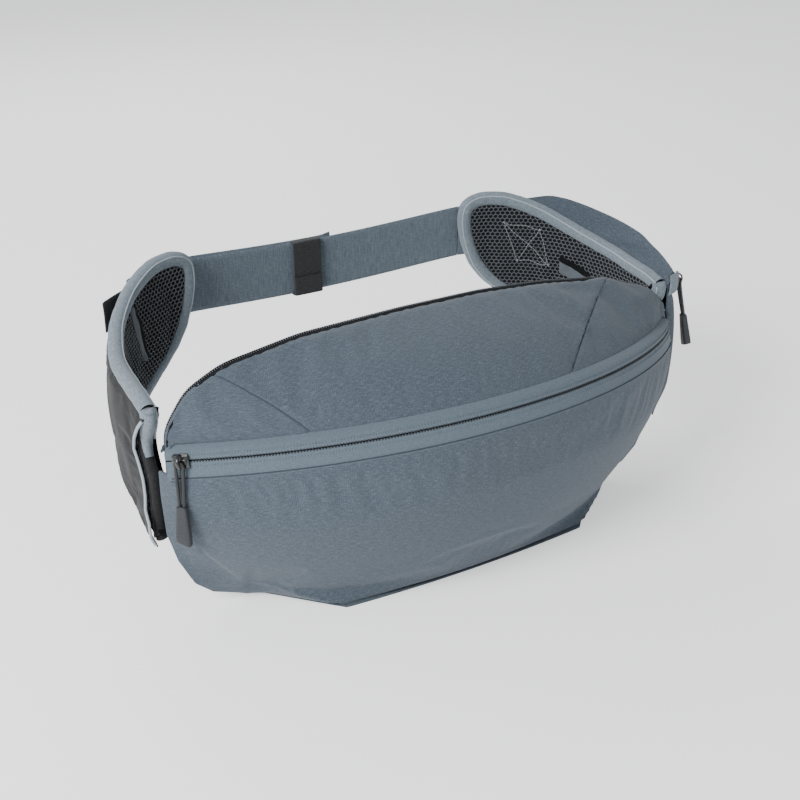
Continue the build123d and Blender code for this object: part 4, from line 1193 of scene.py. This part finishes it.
strapTop = beltForm["lap"] + beltForm["thick"]
webPiece("belt_strap_web", beltPath(strapTop, 52.4, 110.5, 300), beltForm["low"], beltForm["high"], 1.7,
         webbingCloth, False, "belt", "belt_strap", "webbing")
tailPlan = beltPath(strapTop + 1.9, 53.4, 9.0, 220)
tailPlan[:, 1] += 3.5 * np.clip((tailPlan[:, 0] + 2) / 11, 0, 1) ** 1.5
webPiece("belt_tail_web", tailPlan, 133.6, 171.8, 1.6, webbingCloth, False,
         "belt", "belt_tail", "webbing")
webPiece("belt_anchor_web", lapPath(strapTop, 64, 79.36, 40, 1), beltForm["low"], beltForm["high"], 1.7,
         webbingCloth, True, "right_wing", "belt_anchor", "webbing")
webPiece("hook_patch_face", lapPath(103.5, 53.4, 68, 30, -1), 133.8, 169.4, 0.4, hookPlastic, False,
         "belt", "hook_patch", "hook_loop")
webPiece("loop_patch_face", lapPath(102.9, 44.5, 68, 40, -1), 134, 167, 0.6, hookPlastic, False,
         "left_wing", "loop_patch", "hook_loop")
tabTurn = np.radians(np.linspace(54, 38, 30))
tabOut = 105.9 + 4.0 * np.linspace(0, 1, 30) ** 1.6
tabPlan = np.stack([-wingSize["axisX"] - tabOut * np.cos(tabTurn),
                    wingSize["axisY"] + tabOut * np.sin(tabTurn)], axis=1)
webPiece("pull_tab_web", tabPlan, 147.5, 167.5, 1.6, elasticCloth, True, "belt", "pull_tab",
         "black_webbing")


# keeper: an elastic loop over the belt and its tail
keeperForm = dict(at=-14.0, width=22.0, inner=(103.0, 109.2), low=131.2, high=172.2, wall=1.1, drop=7.4)


# a rounded section round the belt; grow is out from the loop's inside
def keeperRing(angle, grow):
    r0, r1 = keeperForm["inner"][0] - grow, keeperForm["inner"][1] + grow
    z0, z1 = keeperForm["low"] + 1.0 - grow, keeperForm["high"] - 1.0 + grow
    turn = np.linspace(0, 2 * np.pi, 72, endpoint=False)
    power = 0.16
    rr = (r0 + r1) / 2 + (r1 - r0) / 2 * np.sign(np.cos(turn)) * np.abs(np.cos(turn)) ** (power * 2.2)
    zz = (z0 + z1) / 2 + (z1 - z0) / 2 * np.sign(np.sin(turn)) * np.abs(np.sin(turn)) ** power
    radius = beltForm["extra"] + rr
    return np.stack([radius * np.cos(angle), beltForm["centreY"] + radius * np.sin(angle),
                     zz - keeperForm["drop"]], axis=1)


middle = np.arccos(keeperForm["at"] / (beltForm["extra"] + 105))
spread = keeperForm["width"] / 2 / (beltForm["extra"] + 105)
turns = np.linspace(middle - spread, middle + spread, 24)
puff = 0.35 * np.sin(np.linspace(0, np.pi, 24)) ** 0.5
rings = [keeperRing(turn, keeperForm["wall"] + p - 0.3) for turn, p in zip(turns, puff)]
rings += [keeperRing(turn, 0.0) for turn in turns[::-1]]
keeper = tubePiece("keeper_loop", rings, elasticCloth, closed=True, flip=False)
attach(keeper, "keeper", "keeper", slot="black_elastic")
lapTurns = np.linspace(middle - spread * 0.99, middle + spread * 0.99, 20)
lapRadius = beltForm["extra"] + keeperForm["inner"][0] - keeperForm["wall"] - 0.1
lapPlan = np.stack([lapRadius * np.cos(lapTurns), beltForm["centreY"] + lapRadius * np.sin(lapTurns)],
                   axis=1)
webPiece("keeper_overlap", lapPlan, 132.0, 145.5, 0.7, elasticCloth, False, "keeper")
print("belt and keeper made")


# sliders and their pulls
sliderForm = dict(plate=(1.7, 8.2, 10.6), rail=(1.5, 1.2, 9.6), saddle=(1.2, 3.2, 8.0), back=(1.6, 8, 10.6),
                  bail=4.2, wire=(1.0, 0.62))
gripForm = dict(length=26.8, rings=70, ribPitch=1.9, ribDepth=0.16, half=(3.0, 1.6), thick=(2.1, 0.6),
                slant=3.6)  # half width and half thickness: at the top, and what they gain below
cordForm = dict(narrow=1.364, wide=2.3, drop=29, knee=5, radius=1.1, length=62.5, diameter=2.2)


def sliderPieces(name, origin, outDir, upDir, alongDir, lift, behind):
    matrix = frameMatrix(origin, outDir, upDir, alongDir)
    solids = [("plate", sliderForm["plate"], 0.7, lift + 0.9, 0, 0.82),
              ("rail", sliderForm["rail"], 0.4, lift - 0.3, 3.9, 0.9),
              ("rail", sliderForm["rail"], 0.4, lift - 0.3, -3.9, 0.9),
              ("saddle", sliderForm["saddle"], 0.5, lift + 1.9, 0, 0.9)]
    if behind:
        solids.append(("back plate", sliderForm["back"], 0.6, -behind - 0.9, 0, 0.82))
    parts = [block(label, size, bevel, sliderMetal, matrix @ Matrix.Translation((out, up, 0)), taper)
             for label, size, bevel, out, up, taper in solids]
    turn = np.linspace(-0.5, 0.5, 22) * np.pi * 1.06
    bailRound = np.outer(np.cos(turn), outDir) + np.outer(np.sin(turn), upDir)
    path = np.array(origin) + (lift + 1.8) * np.array(outDir) + sliderForm["bail"] * bailRound
    parts.append(tubeAlong("bail", path, sliderForm["wire"], sliderMetal, bailRound, sides=12))
    return joined(name, parts)


# a moulded grip: it widens to a slanting foot and has fine ribs on both faces
def pullGrip(name, foot, sidewaysDir, downDir, outDir):
    length, rings = gripForm["length"], []
    turn = np.linspace(0, 2 * np.pi, 40, endpoint=False)
    square = np.abs(np.cos(turn)) ** 5 + np.abs(np.sin(turn)) ** 5
    cosines, sines = np.cos(turn) / square ** 0.2, np.sin(turn) / square ** 0.2
    for k in np.linspace(0, 1, gripForm["rings"]):
        grown = min(k / 0.8, 1)
        width = gripForm["half"][0] + gripForm["half"][1] * grown
        thick = gripForm["thick"][0] + gripForm["thick"][1] * grown
        end = min(k / 0.03, (1 - k) / 0.03, 1)
        shrink = 0.75 + 0.25 * np.sqrt(1 - (1 - end) ** 2)
        rib = gripForm["ribDepth"] * np.sin(k * length * 2 * np.pi / gripForm["ribPitch"]) * (0.2 < k < 0.86)
        down = length * k - gripForm["slant"] * k**3 * (cosines * 0.5 + 0.5)
        x = cosines * width * shrink
        y = sines * (thick * shrink + rib * (np.abs(cosines) < 0.8))
        rings.append(foot + np.outer(x, sidewaysDir) + np.outer(y, outDir) + np.outer(down, downDir))
    return tubePiece(name, rings, gripRubber, smooth=35)


# the doubled cord and its grip. The cord leaves the grip, goes through the bail and comes back
def pullOn(name, body, hook, sideways, lean):
    hook, sideways = np.array(hook), np.array(sideways)
    down = np.array([0.0, 0.0, -1.0])
    outwards = np.cross(sideways, down)
    foot = hook + down * cordForm["drop"] + outwards * lean
    knee = hook + down * cordForm["knee"]
    narrow, wide = sideways * cordForm["narrow"], sideways * cordForm["wide"]
    route = [foot - narrow, knee - wide, hook - wide, hook + wide, knee + wide, foot + narrow]
    curve = bpy.data.curves.new(f"{name}_cord_line", "CURVE")
    curve.dimensions = "3D"
    spline = curve.splines.new("NURBS")
    spline.points.add(len(route) - 1)
    for point, place in zip(spline.points, route):
        point.co = (*(place * mm), 1)
    spline.order_u = 3
    spline.use_endpoint_u = True
    curve.bevel_depth = cordForm["radius"] * mm
    curve.bevel_resolution = 4
    curve.resolution_u = 16
    curve.use_fill_caps = True
    curve.materials.append(cordNylon)
    cord = addObject(f"{name}_cord_line", curve)
    hang = (foot - hook) / np.linalg.norm(foot - hook)
    away = np.cross(hang, sideways)
    grip = pullGrip(f"{name}_grip_body", foot - hang * 0.6, sideways, hang, away)
    attach(cord, body, f"{name}_cord", slot="pull_cord")
    attach(grip, body, f"{name}_grip", slot="pull_grip")


parkOut = zipOut(-zipSize["park"])
mainSlider = sliderPieces("main_slider_body", zipPoint(-zipSize["park"]), parkOut, zipUp,
                          np.cross(parkOut, zipUp), 0.3, 3.7)
attach(mainSlider, "main_slider", "main_slider", slot="slider_metal")
pullOn("main_pull", "main_pull", (-184.278, 3.840, 119.403), (-0.729907, 0.683546, 0), 1.2)
parkAngle = np.radians(-18)
pocketOut = np.array([np.cos(parkAngle), np.sin(parkAngle), 0])
pocketOrigin = pocketPoint(-18, pocketZip["height"], pocketZip["radius"] + 0.3)
pocketSlider = sliderPieces("pocket_slider_body", pocketOrigin, pocketOut, (0, 0, 1),
                            np.cross(pocketOut, (0, 0, 1)), 1.0, None)
attach(pocketSlider, "pocket_slider", "pocket_slider", slot="slider_metal")
pullOn("pocket_pull", "pocket_pull", (209.646, 31.775, 143), (-0.309017, -0.951057, 0), 6.0)
print("sliders made")

for part in patterns:
    bpy.data.objects.remove(part)


# floor, light and camera
studio = dict(
    floor=3000.0, floorZ=-0.5, glow=0.6, world=0.66, aim=(0, 60, 80),
    lamps=(("key", (-1250, -350, 1100), 700, 34.0), ("fill", (900, -900, 500), 900, 0.5),
           ("back", (200, 1300, 1000), 900, 8.0)),
    camera=(-386.4, -603.2, 491.5), cameraAim=(5.7, 79.7, 76.0), lens=57.13, sensor=36.0)
floorPaint, _, floorShader = newMaterial("pale studio floor", Roughness=0.9, Specular_IOR_Level=0.1)
floorShader.inputs["Base Color"].default_value = paint("#f4f4f4")
floorShader.inputs["Emission Color"].default_value = paint("#ffffff")
floorShader.inputs["Emission Strength"].default_value = studio["glow"]
floorCorners = [(x * studio["floor"], y * studio["floor"], studio["floorZ"])
                for x, y in ((-1, -1), (1, -1), (1, 1), (-1, 1))]
makeObject("floor", floorCorners, [(0, 1, 2, 3)], floorPaint)
world = bpy.data.worlds.new("studio")
bpy.context.scene.world = world
world.use_nodes = True
world.node_tree.nodes["Background"].inputs["Color"].default_value = paint("#f7f9fb")
world.node_tree.nodes["Background"].inputs["Strength"].default_value = studio["world"]


# places an object and points it at a spot, both in mm
def aim(obj, place, spot):
    obj.location = Vector(place) * mm
    obj.rotation_euler = (Vector(spot) * mm - obj.location).to_track_quat("-Z", "Y").to_euler()
    return obj


for lampName, place, size, power in studio["lamps"]:
    light = bpy.data.lights.new(lampName, "AREA")
    light.energy, light.size = power, size * mm
    aim(addObject(lampName, light), place, studio["aim"])
lens = bpy.data.cameras.new("camera")
lens.lens, lens.sensor_width = studio["lens"], studio["sensor"]
lens.clip_start, lens.clip_end = 0.05, 20.0
bpy.context.scene.camera = aim(addObject("camera", lens), studio["camera"], studio["cameraAim"])
print("studio made")
